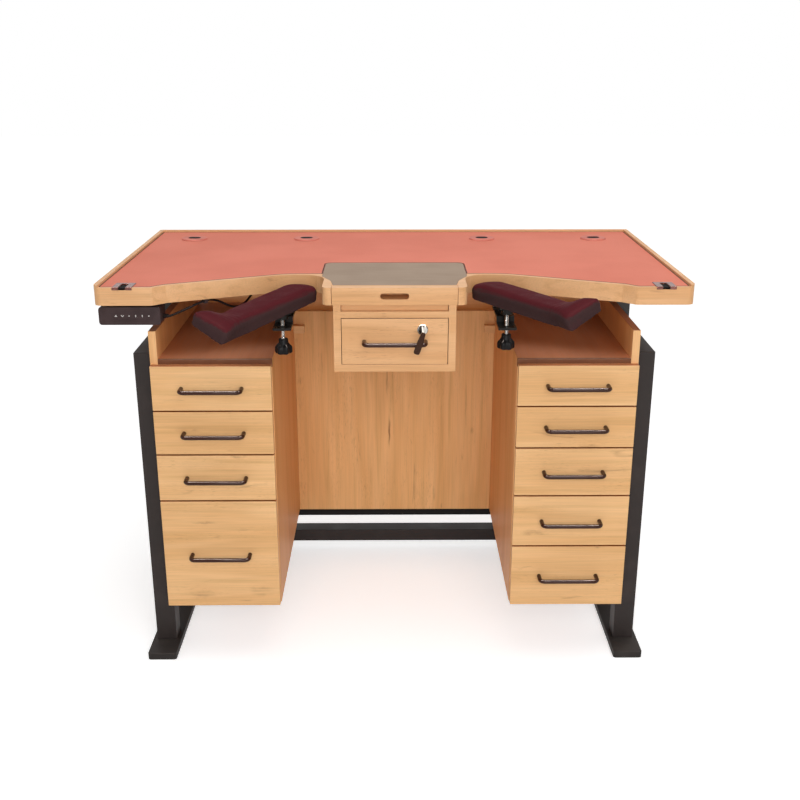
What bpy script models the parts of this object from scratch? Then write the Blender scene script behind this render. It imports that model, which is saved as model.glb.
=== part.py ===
"""Height-adjustable watchmaker's bench with two drawer cabinets, a catch tray and swivelling armrests.

Metres, +Z up, the user sits on the -Y side. Sizes below are measured from the line of the drawer fronts,
and one empty shifts the whole bench so that the origin lies under the middle of its outline.
"""

import math

import bmesh
import bpy
from mathutils import Matrix, Vector

# Gaps
SEAT_GAP = 0.0003
SLIDE_GAP = 0.0010
# Share of a slot's half width that its round ends take
ROUND_END = 0.98

# Bench top
TOP_WIDTH = 1.240
TOP_DEPTH = 0.676
TOP_HEIGHT = 0.879
TOP_THICK = 0.037
TOP_CORNER = 0.016
TOP_BACK_CORNER = 0.004
RIM_RISE = 0.005
EDGING = 0.010
BAY_DEPTH = 0.127
BAY_FLAT_END = 0.236
BAY_INNER_RADIUS = 0.045
BAY_OUTER_RADIUS = 0.120
SHOULDER_INSET = 0.120
SHOULDER_RISE = 0.024
SHOULDER_RUN = 0.026
HORN_X = 0.150
HORN_RADIUS = 0.014
APRON_INSET = 0.105
APRON_GAP = 0.020
APRON_THICK = 0.016
APRON_DROP = 0.172

# Work surface and steel work plate
MAT_THICK = 0.003
PLATE_HALF = 0.156
PLATE_FRONT_HALF = 0.128
PLATE_BACK = 0.256
PLATE_CORNER = 0.015
PLATE_NECK_Y = 0.112

# Cable grommets
GROMMET_X = (-0.510, -0.224, 0.224, 0.510)
GROMMET_BACK = 0.113
GROMMET_FLANGE = 0.066
GROMMET_HOLE = 0.060
GROMMET_WALL = 0.0025
GROMMET_CAP = 0.003
GROMMET_DEPTH = 0.030
GROMMET_SLOT = (0.030, 0.012)

# Slotted corner plates
CORNER_PLATE_INSET = 0.061
CORNER_PLATE_SIZE = (0.041, 0.042)
CORNER_PLATE_SHEET = 0.0015
CORNER_PLATE_LIP = 0.006
CORNER_SLOT = (0.015, 0.034)
CORNER_SLOT_DEPTH = 0.004

# Catch tray under the top, with the finger slot in its front
TRAY_FRONT_HALF = 0.130
TRAY_FRONT_THICK = 0.020
TRAY_RECESS = 0.006
TRAY_LENGTH = 0.290
TRAY_BODY = 0.014
TRAY_WALL = 0.006
TRAY_FLOOR = 0.003
FINGER_SLOT = (0.060, 0.013)
FINGER_POCKET = 0.024

# Centre drawer box under the top
BOX_HALF = 0.128
BOX_SETBACK = 0.005
BOX_BOARD = 0.016
BOX_RAIL = 0.014
BOX_HEIGHT = 0.145
BOX_DEPTH = 0.340
CENTRE_DRAWER_GAP = 0.0012

# Cabinets
CABINET_INNER = 0.260
CABINET_OUTER = 0.517
CABINET_BOTTOM = 0.142
SHELF_DROP = 0.121
SIDE_UPSTAND = 0.062
BOARD = 0.016
FRONT_THICK = 0.016
FRONT_TOP_DROP = 0.010
FRONT_GAP = 0.003
LEFT_FRONTS = (0.0985, 0.0970, 0.1055)
RIGHT_FRONTS = (0.0895, 0.0920, 0.1100, 0.1190)
LEDGE_WIDE = 0.009
LEDGE_TALL = 0.010
DRAWER_SIDE = 0.012
DRAWER_FLOOR = 0.006
DRAWER_LENGTH = 0.470
DRAWER_BACK_GAP = 0.030
DRAWER_HEAD = 0.010

# Wire handles
HANDLE_PITCH = 0.128
HANDLE_WIRE = 0.0095
HANDLE_REACH = 0.028
HANDLE_BEND = 0.010
HANDLE_STEPS = 4

# Lock and key
LOCK_X = 0.058
LOCK_DROP = 0.025
LOCK_BARREL = 0.017
LOCK_ROSE = 0.023
LOCK_ROSE_THICK = 0.004
KEY_SHANK = 0.004
KEY_REACH = 0.040
KEY_HEAD = (0.013, 0.040, 0.004)
KEY_TILT = math.radians(19)

# Base frame
FOOT_WIDTH = 0.066
FOOT_LENGTH = 0.610
FOOT_THICK = 0.016
FOOT_CORNER = 0.006
POST = 0.046
POST_FRONT = 0.062
POST_RISE = 0.002
REAR_POST_GAP = 0.001
CROSSBAR_TALL = 0.033
LOWER_CROSSBAR = 0.038
UPPER_CROSSBAR = 0.116

# Lifting columns
COLUMN_Y = 0.345
COLUMN_OUTER_DEPTH = 0.080
COLUMN_INNER = (0.036, 0.070)
COLUMN_INNER_WALL = 0.003
COLUMN_INNER_BOTTOM = 0.060
COLUMN_HEAD = (0.115, 0.260, 0.006)
KNEE_PANEL_DROP = 0.020
KNEE_PANEL_THICK = 0.016
CORNER_BLOCK = (0.028, 0.016, 0.020)
CORNER_BLOCK_DROP = 0.045

# Armrests
ARM_X = 0.234
ARM_Y = 0.0176
ARM_HEADING = {"left": math.radians(61.9), "right": math.radians(60.5)}
PAD_DROP = {"left": 0.0131, "right": 0.0038}
PAD_TILT = {"left": math.radians(-2.44), "right": math.radians(0.88)}
PAD_SEAT = 0.0011
PAD_WIDTH = 0.0834
PAD_THICK = 0.0359
PAD_HEEL = 0.105
PAD_REACH = 0.264
PAD_TWIST = math.radians(26.5)
PAD_TWIST_LENGTH = 0.098
PAD_END_LENGTH = 0.007
PAD_END_SHARE = 0.84
PAD_FLARE = 0.064
PAD_HEEL_RINGS = 5
PAD_HEEL_START = 0.6
PAD_HEEL_SHARE = 0.75
PAD_STRAIGHT_RINGS = 4
PAD_TWIST_RINGS = 6
# One half of the pad's section: share of the half width, share of the thickness
PAD_SECTION = ((0.90, 0.0), (0.97, 0.10), (0.95, 0.32), (1.0, 0.58), (0.92, 0.84), (0.66, 0.96))
CARRIER_PLATE = (0.044, 0.006)
CARRIER_HUB = (0.024, 0.012)
SCREW = 0.0084
SCREW_FIT = 0.0003
SCREW_SEAT = 0.003
BRACKET_WIDTH = 0.038
BRACKET_SHEET = 0.005
BRACKET_STEP = 0.034
BRACKET_WEB_BACK = 0.025
BRACKET_FOOT_FRONT = 0.025
BRACKET_FOOT_DROP = 0.052
BRACKET_TAIL = 0.062
BRACKET_EDGE_GAP = 0.003
KNOB_DROP = 0.062
KNOB_HUB = (0.020, 0.012)
KNOB_STAR = (0.037, 0.020)
KNOB_LOBES = 6
KNOB_LOBE_DEPTH = 0.0025
KNOB_POINTS = 36

# Electric controls
CONTROL_X = (-0.615, -0.487)
CONTROL_FRONT = 0.012
CONTROL_DEPTH = 0.050
CONTROL_DROP = 0.006
CONTROL_TALL = 0.038
CONTROL_CORNER = 0.006
CONTROL_MOUNT = 0.014
CONTROL_PANEL = (0.084, 0.017)
CONTROL_PANEL_DEPTH = 0.0008
POWER_BOX_X = (-0.400, -0.180)
POWER_BOX_Y = (0.300, 0.390)
POWER_BOX_TALL = 0.040
POWER_BOX_CORNER = 0.008
CABLE = 0.005
CABLE_POINT_STEP = 2.5
CABLE_CLIP = (0.008, 0.012, 0.0015)
CABLE_CLIP_AT = 3
# Across, back and down from the underside of the top
CABLE_ROUTE = (
    (-0.4866, 0.0380, 0.0310),
    (-0.4720, 0.0380, 0.0308),
    (-0.4360, 0.0470, 0.0170),
    (-0.4020, 0.0660, 0.0050),
    (-0.3820, 0.0920, 0.0110),
    (-0.3540, 0.1320, 0.0340),
    (-0.3380, 0.1900, 0.0410),
    (-0.3250, 0.2450, 0.0300),
    (-0.3200, 0.2850, 0.0220),
    (-0.3200, 0.2997, 0.0220),
)

ROUND_SIDES = 24

TOP_UNDER = TOP_HEIGHT - TOP_THICK
SHOULDER_X = TOP_WIDTH / 2 - SHOULDER_INSET
CORNER_PLATE_X = TOP_WIDTH / 2 - CORNER_PLATE_INSET
CABINET_SHELF = TOP_UNDER - SHELF_DROP
CABINET_DEPTH = FRONT_THICK + DRAWER_LENGTH + DRAWER_BACK_GAP + BOARD
FRONT_TOP = CABINET_SHELF - FRONT_TOP_DROP
POST_TOP = CABINET_SHELF + POST_RISE
REAR_POST_FRONT = CABINET_DEPTH + REAR_POST_GAP
KNEE_PANEL_TOP = CABINET_SHELF - KNEE_PANEL_DROP
PAD_BOTTOM = {word: TOP_UNDER - drop for word, drop in PAD_DROP.items()}
POST_OUTER = CABINET_OUTER + SEAT_GAP + POST
POST_MIDDLE = POST_OUTER - POST / 2
NOTCH_HALF = TRAY_FRONT_HALF + SLIDE_GAP
NOTCH_DEPTH = TRAY_FRONT_THICK + 2 * SLIDE_GAP


# Finishes


def finish(name, colour, roughness, metallic=0.0):
    surface = bpy.data.materials.new(name)
    surface.use_nodes = True
    shader = surface.node_tree.nodes["Principled BSDF"]
    shader.inputs["Base Color"].default_value = (*colour, 1.0)
    shader.inputs["Roughness"].default_value = roughness
    shader.inputs["Metallic"].default_value = metallic
    return surface


# Shapes


def box(low, high):
    shape = bmesh.new()
    bmesh.ops.create_cube(shape, size=1.0)
    size = Vector(high) - Vector(low)
    middle = (Vector(high) + Vector(low)) / 2
    place = Matrix.Translation(middle) @ Matrix.Diagonal((*size, 1.0))
    bmesh.ops.transform(shape, matrix=place, verts=shape.verts)
    return shape


def prism(outline, low, high, axis="Z"):
    """Extrudes a flat outline along an axis: (x, y) along Z, (x, z) along Y or (y, z) along X."""
    place = {
        "Z": lambda u, v: (u, v, low),
        "Y": lambda u, v: (u, low, v),
        "X": lambda u, v: (low, u, v),
    }[axis]
    along = {"Z": (0, 0, 1), "Y": (0, 1, 0), "X": (1, 0, 0)}[axis]
    shape = bmesh.new()
    face = shape.faces.new([shape.verts.new(place(u, v)) for u, v in outline])
    grown = bmesh.ops.extrude_face_region(shape, geom=[face])
    moved = [part for part in grown["geom"] if isinstance(part, bmesh.types.BMVert)]
    bmesh.ops.translate(shape, verts=moved, vec=Vector(along) * (high - low))
    return shape


def turned(profile, centre, axis="Z", sides=ROUND_SIDES):
    """Spins a closed (radius, height) profile round an axis through the centre."""
    shape = bmesh.new()
    points = [shape.verts.new((radius, 0.0, height)) for radius, height in profile]
    edges = [shape.edges.new(pair) for pair in zip(points, points[1:] + points[:1])]
    bmesh.ops.spin(shape, geom=points + edges, cent=(0, 0, 0), axis=(0, 0, 1), angle=2 * math.pi,
                   steps=sides, use_merge=True)
    bmesh.ops.remove_doubles(shape, verts=shape.verts, dist=1e-6)
    tilt = Matrix.Rotation(math.radians(90), 4, "X") if axis == "-Y" else Matrix.Identity(4)
    bmesh.ops.transform(shape, matrix=Matrix.Translation(centre) @ tilt, verts=shape.verts)
    return shape


def disc_profile(radius, low, high):
    return [(0.0, high), (radius, high), (radius, low), (0.0, low)]


def rounded(corners, steps=6):
    """Outline through (x, y, radius) corners, each radius drawn as an arc."""
    outline = []
    for index, (x, y, radius) in enumerate(corners):
        here = Vector((x, y))
        before = Vector(corners[index - 1][:2]) - here
        after = Vector(corners[(index + 1) % len(corners)][:2]) - here
        if radius == 0:
            outline.append((x, y))
            continue
        half = before.angle(after) / 2
        centre = here + (before.normalized() + after.normalized()).normalized() * radius / math.sin(half)
        start = here + before.normalized() * radius / math.tan(half) - centre
        sweep = math.pi - 2 * half
        turn = math.copysign(sweep, before.cross(after) * -1)
        for step in range(steps + 1):
            angle = turn * step / steps
            spoke = Matrix.Rotation(angle, 2) @ start
            outline.append(tuple(centre + spoke))
    return outline


def inset(corners, distance):
    """The same corners with every side of the outline moved inwards."""
    moved = []
    for index, (x, y, radius) in enumerate(corners):
        here = Vector((x, y))
        ahead = (Vector(corners[(index + 1) % len(corners)][:2]) - here).normalized()
        behind = (here - Vector(corners[index - 1][:2])).normalized()
        normal_ahead = Vector((-ahead.y, ahead.x))
        normal_behind = Vector((-behind.y, behind.x))
        shift = (normal_ahead + normal_behind) / (1 + normal_ahead.dot(normal_behind))
        bend = behind.cross(ahead)
        round_to = max(radius - distance, 0.0) if bend > 0 else radius + distance
        moved.append((*(here + shift * distance), round_to if radius else 0.0))
    return moved


def both_halves(right_half):
    """Closes the corners of the right half, listed from the middle of the front, with their mirror image."""
    return list(right_half) + [(-x, y, radius) for x, y, radius in reversed(right_half)]


def rounded_box(x_span, z_span, radius):
    (x_low, x_high), (z_low, z_high) = x_span, z_span
    return rounded([(x_low, z_low, radius), (x_high, z_low, radius), (x_high, z_high, radius),
                    (x_low, z_high, radius)], steps=4)


# Objects


def make(name, shape, surface, pivot=(0.0, 0.0, 0.0)):
    """Makes a named object of a shape, with its origin on the pivot."""
    bmesh.ops.recalc_face_normals(shape, faces=shape.faces)
    bmesh.ops.translate(shape, verts=shape.verts, vec=-Vector(pivot))
    mesh = bpy.data.meshes.new(name)
    shape.to_mesh(mesh)
    shape.free()
    mesh.materials.append(surface)
    piece = bpy.data.objects.new(name, mesh)
    bpy.context.scene.collection.objects.link(piece)
    piece.parent = bench
    piece.location = pivot
    return piece


def combine(piece, shape, operation="DIFFERENCE"):
    """Cuts a shape from a piece, or joins it on, and keeps the result as the piece's mesh."""
    tool = make(f"{piece.name}_tool", shape, piece.data.materials[0])
    step = piece.modifiers.new(operation.title(), "BOOLEAN")
    step.operation = operation
    step.object = tool
    bpy.context.view_layer.update()
    graph = bpy.context.evaluated_depsgraph_get()
    result = bpy.data.meshes.new_from_object(piece.evaluated_get(graph))
    piece.modifiers.clear()
    piece.data = result
    bpy.data.objects.remove(tool)
    return piece


def smooth(piece, angle=40):
    piece.data.shade_smooth()
    piece.data.set_sharp_from_angle(angle=math.radians(angle))
    return piece


def wire(name, points, diameter, surface, resolution=2):
    """A round tube along the points, with closed ends."""
    path = bpy.data.curves.new(name, "CURVE")
    path.dimensions = "3D"
    path.bevel_depth = diameter / 2
    path.bevel_resolution = resolution
    path.use_fill_caps = True
    spline = path.splines.new("POLY")
    spline.points.add(len(points) - 1)
    for point, place in zip(spline.points, points):
        point.co = (*place, 1.0)
    path.materials.append(surface)
    piece = bpy.data.objects.new(name, path)
    bpy.context.scene.collection.objects.link(piece)
    piece.parent = bench
    return piece


# Bench top


def top_corners():
    half = TOP_WIDTH / 2
    return both_halves([
        (NOTCH_HALF, NOTCH_DEPTH, 0.0),
        (NOTCH_HALF, 0.0, 0.0),
        (HORN_X, 0.0, HORN_RADIUS),
        (HORN_X, BAY_DEPTH, BAY_INNER_RADIUS),
        (BAY_FLAT_END, BAY_DEPTH, BAY_OUTER_RADIUS),
        (SHOULDER_X - SHOULDER_RUN, SHOULDER_RISE, SHOULDER_RUN / 2),
        (SHOULDER_X, 0.0, SHOULDER_RUN / 2),
        (half, 0.0, TOP_CORNER),
        (half, TOP_DEPTH, TOP_BACK_CORNER),
    ])


def mat_corners(gap):
    """The mat fills the area inside the edging, behind the bays and round the work plate."""
    inner = inset(top_corners(), EDGING + gap)[4:9]
    plate_side = PLATE_HALF + gap
    return both_halves([
        (plate_side, PLATE_BACK + gap, PLATE_CORNER),
        (plate_side, BAY_DEPTH + EDGING + gap, 0.0),
        *inner,
    ])


def plate_corners(gap):
    neck = (PLATE_HALF - PLATE_FRONT_HALF) / 4
    return both_halves([
        (PLATE_FRONT_HALF - gap, NOTCH_DEPTH + 2 * SLIDE_GAP + gap, 0.0),
        (PLATE_FRONT_HALF + neck - gap, (NOTCH_DEPTH + PLATE_NECK_Y) / 2, PLATE_NECK_Y / 2),
        (PLATE_HALF - gap, PLATE_NECK_Y, PLATE_NECK_Y / 4),
        (PLATE_HALF - gap, PLATE_BACK - gap, PLATE_CORNER),
    ])


def bench_top():
    top = make("bench_top", prism(rounded(top_corners()), TOP_UNDER, TOP_HEIGHT + RIM_RISE), WOOD)
    half = TOP_WIDTH / 2 - EDGING
    above = TOP_HEIGHT + 2 * RIM_RISE
    combine(top, box((-half, -EDGING, TOP_HEIGHT), (half, TOP_DEPTH - EDGING, above)))
    pocket = TOP_HEIGHT - MAT_THICK - SEAT_GAP
    combine(top, prism(rounded(mat_corners(0.0)), pocket, above))
    combine(top, prism(rounded(plate_corners(-SEAT_GAP)), pocket, above))
    for x in GROMMET_X:
        hole = disc_profile(GROMMET_HOLE / 2, TOP_UNDER - EDGING, above)
        combine(top, turned(hole, (x, TOP_DEPTH - GROMMET_BACK, 0.0)))
    combine(top, finger_slot(NOTCH_DEPTH - SLIDE_GAP, NOTCH_DEPTH + FINGER_POCKET, SLIDE_GAP))
    for side in (-1, 1):
        combine(top, corner_slot(side, TOP_HEIGHT - CORNER_SLOT_DEPTH))
    return combine(top, apron(), "UNION")


def apron():
    """The rail under the back of the top, behind the frame's rear posts."""
    half = TOP_WIDTH / 2 - APRON_INSET
    front = REAR_POST_FRONT + POST + APRON_GAP
    low = TOP_UNDER - APRON_DROP
    return box((-half, front, low), (half, front + APRON_THICK, TOP_UNDER + TOP_THICK / 4))


def finger_slot(front, back, spare):
    wide, tall = FINGER_SLOT[0] / 2 + spare, FINGER_SLOT[1] / 2 + spare
    middle = TOP_HEIGHT - TOP_THICK / 2
    outline = rounded_box((-wide, wide), (middle - tall, middle + tall), tall * ROUND_END)
    return prism(outline, front, back, "Y")


def corner_slot(side, low):
    wide = CORNER_SLOT[0] / 2
    middle = side * CORNER_PLATE_X
    return box((middle - wide, -EDGING, low), (middle + wide, CORNER_SLOT[1], TOP_HEIGHT + EDGING))


def work_surface():
    low = TOP_HEIGHT - MAT_THICK
    mat = make("work_surface", prism(rounded(mat_corners(SEAT_GAP)), low, TOP_HEIGHT), MAT)
    for x in GROMMET_X:
        hole = disc_profile(GROMMET_HOLE / 2, low - EDGING, TOP_HEIGHT + EDGING)
        combine(mat, turned(hole, (x, TOP_DEPTH - GROMMET_BACK, 0.0)))
    for side in (-1, 1):
        combine(mat, corner_slot(side, low - EDGING))
    return mat


def work_plate():
    outline = rounded(plate_corners(SEAT_GAP))
    return make("work_plate", prism(outline, TOP_HEIGHT - MAT_THICK, TOP_HEIGHT), PLATE)


def grommet(number, x):
    outer = GROMMET_HOLE / 2 - SEAT_GAP
    inner = outer - GROMMET_WALL
    low = TOP_HEIGHT + SEAT_GAP
    high = low + GROMMET_CAP
    bottom = TOP_HEIGHT - GROMMET_DEPTH
    under_cap = TOP_HEIGHT - GROMMET_CAP
    profile = [
        (0.0, high), (GROMMET_FLANGE / 2 - GROMMET_CAP / 2, high), (GROMMET_FLANGE / 2, low),
        (outer, low), (outer, bottom), (inner, bottom), (inner, under_cap), (0.0, under_cap),
    ]
    y = TOP_DEPTH - GROMMET_BACK
    cap = make(f"grommet_{number}", turned(profile, (x, y, 0.0)), GROMMET)
    long, wide = GROMMET_SLOT[0] / 2, GROMMET_SLOT[1] / 2
    outline = [(x + u, y + v) for u, v in rounded_box((-long, long), (-wide, wide), wide * ROUND_END)]
    combine(cap, prism(outline, high - GROMMET_CAP, high + GROMMET_CAP))
    return smooth(cap)


def corner_plate(name, side):
    wide, deep = CORNER_PLATE_SIZE
    low = TOP_HEIGHT + SEAT_GAP
    high = low + CORNER_PLATE_SHEET
    front = -SEAT_GAP - CORNER_PLATE_SHEET
    section = [
        (deep, low), (deep, high), (front, high), (front, high - CORNER_PLATE_LIP),
        (-SEAT_GAP, high - CORNER_PLATE_LIP), (-SEAT_GAP, low),
    ]
    middle = side * CORNER_PLATE_X
    plate = make(name, prism(section, middle - wide / 2, middle + wide / 2, "X"), CHROME)
    return combine(plate, corner_slot(side, TOP_HEIGHT - 2 * CORNER_PLATE_LIP))


# Catch tray, centre drawer and its box


def catch_tray():
    front = make("catch_tray", box((-TRAY_FRONT_HALF, 0.0, TOP_UNDER),
                                   (TRAY_FRONT_HALF, TRAY_FRONT_THICK, TOP_HEIGHT)), WOOD)
    combine(front, finger_slot(-TRAY_FRONT_THICK, 2 * TRAY_FRONT_THICK, 0.0))
    half = BOX_HALF - BOX_BOARD - SLIDE_GAP
    high = TOP_UNDER - SEAT_GAP
    low = high - TRAY_BODY + SEAT_GAP
    face = BOX_SETBACK + TRAY_RECESS
    body = box((-half, face, low), (half, TRAY_LENGTH, high))
    tray = make("tray_body", body, WOOD)
    combine(tray, box((-half + TRAY_WALL, TRAY_FRONT_THICK, low + TRAY_FLOOR),
                      (half - TRAY_WALL, TRAY_LENGTH - TRAY_WALL, TOP_HEIGHT)))
    neck = box((-half, face, low), (half, TRAY_FRONT_THICK - TRAY_RECESS / 2, TOP_UNDER + TRAY_RECESS / 2))
    combine(tray, neck, "UNION")
    shape = bmesh.new()
    shape.from_mesh(tray.data)
    bpy.data.objects.remove(tray)
    return combine(front, shape, "UNION")


def centre_levels():
    """Heights of the box under the top: its underside, the rail's two faces and the drawer opening."""
    under = TOP_UNDER - SEAT_GAP
    rail_high = TOP_UNDER - TRAY_BODY - SEAT_GAP
    rail_low = rail_high - BOX_RAIL
    bottom = TOP_UNDER - BOX_HEIGHT
    return under, rail_high, rail_low, bottom


def centre_box():
    under, rail_high, rail_low, bottom = centre_levels()
    back = BOX_SETBACK + BOX_DEPTH
    carcass = make("centre_box", box((-BOX_HALF, BOX_SETBACK, bottom), (BOX_HALF, back, under)), WOOD)
    half = BOX_HALF - BOX_BOARD
    combine(carcass, box((-half, 0.0, rail_high), (half, back - BOX_BOARD, under + BOX_BOARD)))
    combine(carcass, box((-half, 0.0, bottom + BOX_BOARD), (half, back - BOX_BOARD, rail_low)))
    return carcass


def open_drawer(name, front_low, front_high, body_low, body_high, length):
    """A drawer: a front board joined to an open box behind it. Each corner is (x, z)."""
    face = front_low[2]
    behind = face + FRONT_THICK
    front = box((front_low[0], face, front_low[1]), (front_high[0], behind, front_high[1]))
    drawer = make(name, front, WOOD)
    overlap = FRONT_THICK / 2
    body = box((body_low[0], behind - overlap, body_low[1]), (body_high[0], behind + length, body_high[1]))
    combine(drawer, body, "UNION")
    inside = box((body_low[0] + DRAWER_SIDE, behind, body_low[1] + DRAWER_FLOOR),
                 (body_high[0] - DRAWER_SIDE, behind + length - DRAWER_SIDE, body_high[1] + DRAWER_SIDE))
    return combine(drawer, inside)


def centre_drawer():
    _, _, rail_low, bottom = centre_levels()
    half = BOX_HALF - BOX_BOARD
    gap = CENTRE_DRAWER_GAP
    floor = bottom + BOX_BOARD + SEAT_GAP
    face = BOX_SETBACK
    front_low = (-half + gap, floor, face)
    front_high = (half - gap, rail_low - gap)
    body_low = (-half + SLIDE_GAP + gap, floor)
    body_high = (half - SLIDE_GAP - gap, rail_low - DRAWER_HEAD)
    length = BOX_DEPTH - BOX_BOARD - FRONT_THICK - DRAWER_SIDE
    drawer = open_drawer("centre_drawer", front_low, front_high, body_low, body_high, length)
    hole = disc_profile(LOCK_BARREL / 2 + SEAT_GAP, -FRONT_THICK - EDGING, EDGING)
    combine(drawer, turned(hole, (LOCK_X, face, lock_height()), "-Y"))
    middle = (front_low[1] + front_high[1]) / 2
    handle("centre_handle", 0.0, face, middle)
    return drawer


def lock_height():
    _, _, rail_low, _ = centre_levels()
    return rail_low - LOCK_DROP


def lock_barrel():
    rose = LOCK_ROSE / 2
    chamfer = LOCK_ROSE_THICK / 3
    profile = [
        (0.0, LOCK_ROSE_THICK), (rose - chamfer, LOCK_ROSE_THICK), (rose, LOCK_ROSE_THICK - chamfer),
        (rose, SEAT_GAP), (LOCK_BARREL / 2, SEAT_GAP), (LOCK_BARREL / 2, -FRONT_THICK), (0.0, -FRONT_THICK),
    ]
    barrel = make("lock_barrel", turned(profile, (LOCK_X, BOX_SETBACK, lock_height()), "-Y"), CHROME)
    return smooth(barrel)


def drawer_key():
    """A folding key: a shank on the lock's axis and a head that hangs from it."""
    axis = (LOCK_X, BOX_SETBACK, lock_height())
    start = LOCK_ROSE_THICK + SEAT_GAP
    shank = turned(disc_profile(KEY_SHANK / 2, start, KEY_REACH), axis, "-Y", sides=12)
    key = make("drawer_key", shank, KEY, pivot=axis)
    wide, long, thick = KEY_HEAD
    outline = rounded([(-wide / 3, KEY_SHANK, wide / 4), (-wide / 2, -long / 2, wide / 4),
                       (-wide / 2, -long - KEY_SHANK, wide / 3), (wide / 2, -long - KEY_SHANK, wide / 3),
                       (wide / 2, -long / 2, wide / 4), (wide / 3, KEY_SHANK, wide / 4)], steps=3)
    far = BOX_SETBACK - KEY_REACH
    head = prism([(x, z) for x, z in reversed(outline)], far - thick / 2, far + thick / 2, "Y")
    hang = Matrix.Translation((axis[0], 0.0, axis[2])) @ Matrix.Rotation(KEY_TILT, 4, "Y")
    bmesh.ops.transform(head, matrix=hang, verts=head.verts)
    return combine(key, head, "UNION")


# Cabinets


def front_levels(heights):
    """(low, high) of each drawer front from the top down; the last front takes what is left."""
    levels = []
    high = FRONT_TOP
    for height in heights:
        levels.append((high - height, high))
        high -= height + FRONT_GAP
    levels.append((CABINET_BOTTOM, high))
    return levels


def body_levels(levels):
    """(low, high) of each drawer's box: it stands on the ledge or floor below and clears what is above."""
    bodies = []
    for number, (low, high) in enumerate(levels):
        last = number == len(levels) - 1
        stand = (CABINET_BOTTOM + BOARD if last else low + LEDGE_TALL) + SEAT_GAP
        first = number == 0
        roof = CABINET_SHELF - BOARD if first else high
        bodies.append((stand, roof - DRAWER_HEAD))
    return bodies


def mirrored(side, outline):
    return [(side * x, z) for x, z in (outline if side > 0 else reversed(outline))]


def cabinet(name, side, levels):
    inner, outer = CABINET_INNER, CABINET_OUTER
    upstand = CABINET_SHELF + SIDE_UPSTAND
    hull = [
        (inner, CABINET_BOTTOM), (outer, CABINET_BOTTOM), (outer, upstand), (outer - BOARD, upstand),
        (outer - BOARD, CABINET_SHELF), (inner, CABINET_SHELF),
    ]
    face = FRONT_THICK + SEAT_GAP
    carcass = make(name, prism(mirrored(side, hull), face, CABINET_DEPTH, "Y"), WOOD)
    left, right = inner + BOARD, outer - BOARD
    near, far = [], []
    for low, _ in levels[:-1]:
        ledge = (low + LEDGE_TALL, low)
        near_tip = left + LEDGE_WIDE
        far_tip = right - LEDGE_WIDE
        near += [(left, ledge[0]), (near_tip, ledge[0]), (near_tip, ledge[1]), (left, ledge[1])]
        far += [(right, ledge[0]), (far_tip, ledge[0]), (far_tip, ledge[1]), (right, ledge[1])]
    roof, floor = CABINET_SHELF - BOARD, CABINET_BOTTOM + BOARD
    cavity = [(left, roof), *near, (left, floor), (right, floor), *reversed(far), (right, roof)]
    return combine(carcass, prism(mirrored(side, cavity), 0.0, CABINET_DEPTH - BOARD, "Y"))


def cabinet_drawer(name, side, level, body):
    reveal = FRONT_GAP / 2
    spans = sorted((side * (CABINET_INNER + reveal), side * (CABINET_OUTER - reveal)))
    room = BOARD + SLIDE_GAP
    body_span = sorted((side * (CABINET_INNER + room), side * (CABINET_OUTER - room)))
    open_drawer(name, (spans[0], level[0], 0.0), (spans[1], level[1]), (body_span[0], body[0]),
                (body_span[1], body[1]), DRAWER_LENGTH)
    handle(f"{name}_handle", sum(spans) / 2, 0.0, sum(level) / 2)


def handle(name, x, face, z):
    """A bent wire pull: two legs on the front and a straight bar."""
    half = HANDLE_PITCH / 2
    reach = HANDLE_REACH
    bend = HANDLE_BEND
    points = [(-half, 0.0)]
    for step in range(HANDLE_STEPS + 1):
        angle = math.radians(90) * step / HANDLE_STEPS
        points.append((-half + bend * (1 - math.cos(angle)), -reach + bend * (1 - math.sin(angle))))
    points += [(-u, v) for u, v in reversed(points)]
    start = face - SEAT_GAP
    return wire(name, [(x + u, start + v, z) for u, v in points], HANDLE_WIRE, HANDLE)


def knee_panel():
    half = CABINET_INNER - SEAT_GAP
    back = CABINET_DEPTH
    panel = box((-half, back - KNEE_PANEL_THICK, CABINET_BOTTOM), (half, back, KNEE_PANEL_TOP))
    return make("knee_panel", panel, WOOD)


def corner_block(name, side):
    """A small block that fixes the knee panel to the cabinet's side."""
    wide, deep, tall = CORNER_BLOCK
    near, far = sorted((side * (CABINET_INNER - SEAT_GAP), side * (CABINET_INNER - SEAT_GAP - wide)))
    back = CABINET_DEPTH - KNEE_PANEL_THICK - SEAT_GAP
    low = KNEE_PANEL_TOP - CORNER_BLOCK_DROP - tall / 2
    return make(name, box((near, back - deep, low), (far, back, low + tall)), WOOD)


# Base frame and lifting columns


def foot(name, side):
    middle = side * POST_MIDDLE
    half = FOOT_WIDTH / 2
    outline = rounded([(middle - half, 0.0, FOOT_CORNER), (middle + half, 0.0, FOOT_CORNER),
                       (middle + half, FOOT_LENGTH, FOOT_CORNER), (middle - half, FOOT_LENGTH, FOOT_CORNER)],
                      steps=3)
    return make(name, prism(outline, 0.0, FOOT_THICK), STEEL)


def side_frame(name, side):
    """A portal of square tube: front post, top beam with the column's guide hole, rear post."""
    low, high = sorted((side * (POST_OUTER - POST), side * POST_OUTER))
    base = FOOT_THICK + SEAT_GAP
    beam = POST_TOP - POST
    back = REAR_POST_FRONT + POST
    outline = [
        (POST_FRONT, base), (POST_FRONT + POST, base), (POST_FRONT + POST, beam), (REAR_POST_FRONT, beam),
        (REAR_POST_FRONT, base), (back, base), (back, POST_TOP), (POST_FRONT, POST_TOP),
    ]
    frame = make(name, prism(outline, low, high, "X"), STEEL)
    return combine(frame, column_bore(side, SLIDE_GAP / 2, beam - POST, POST_TOP + POST))


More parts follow.
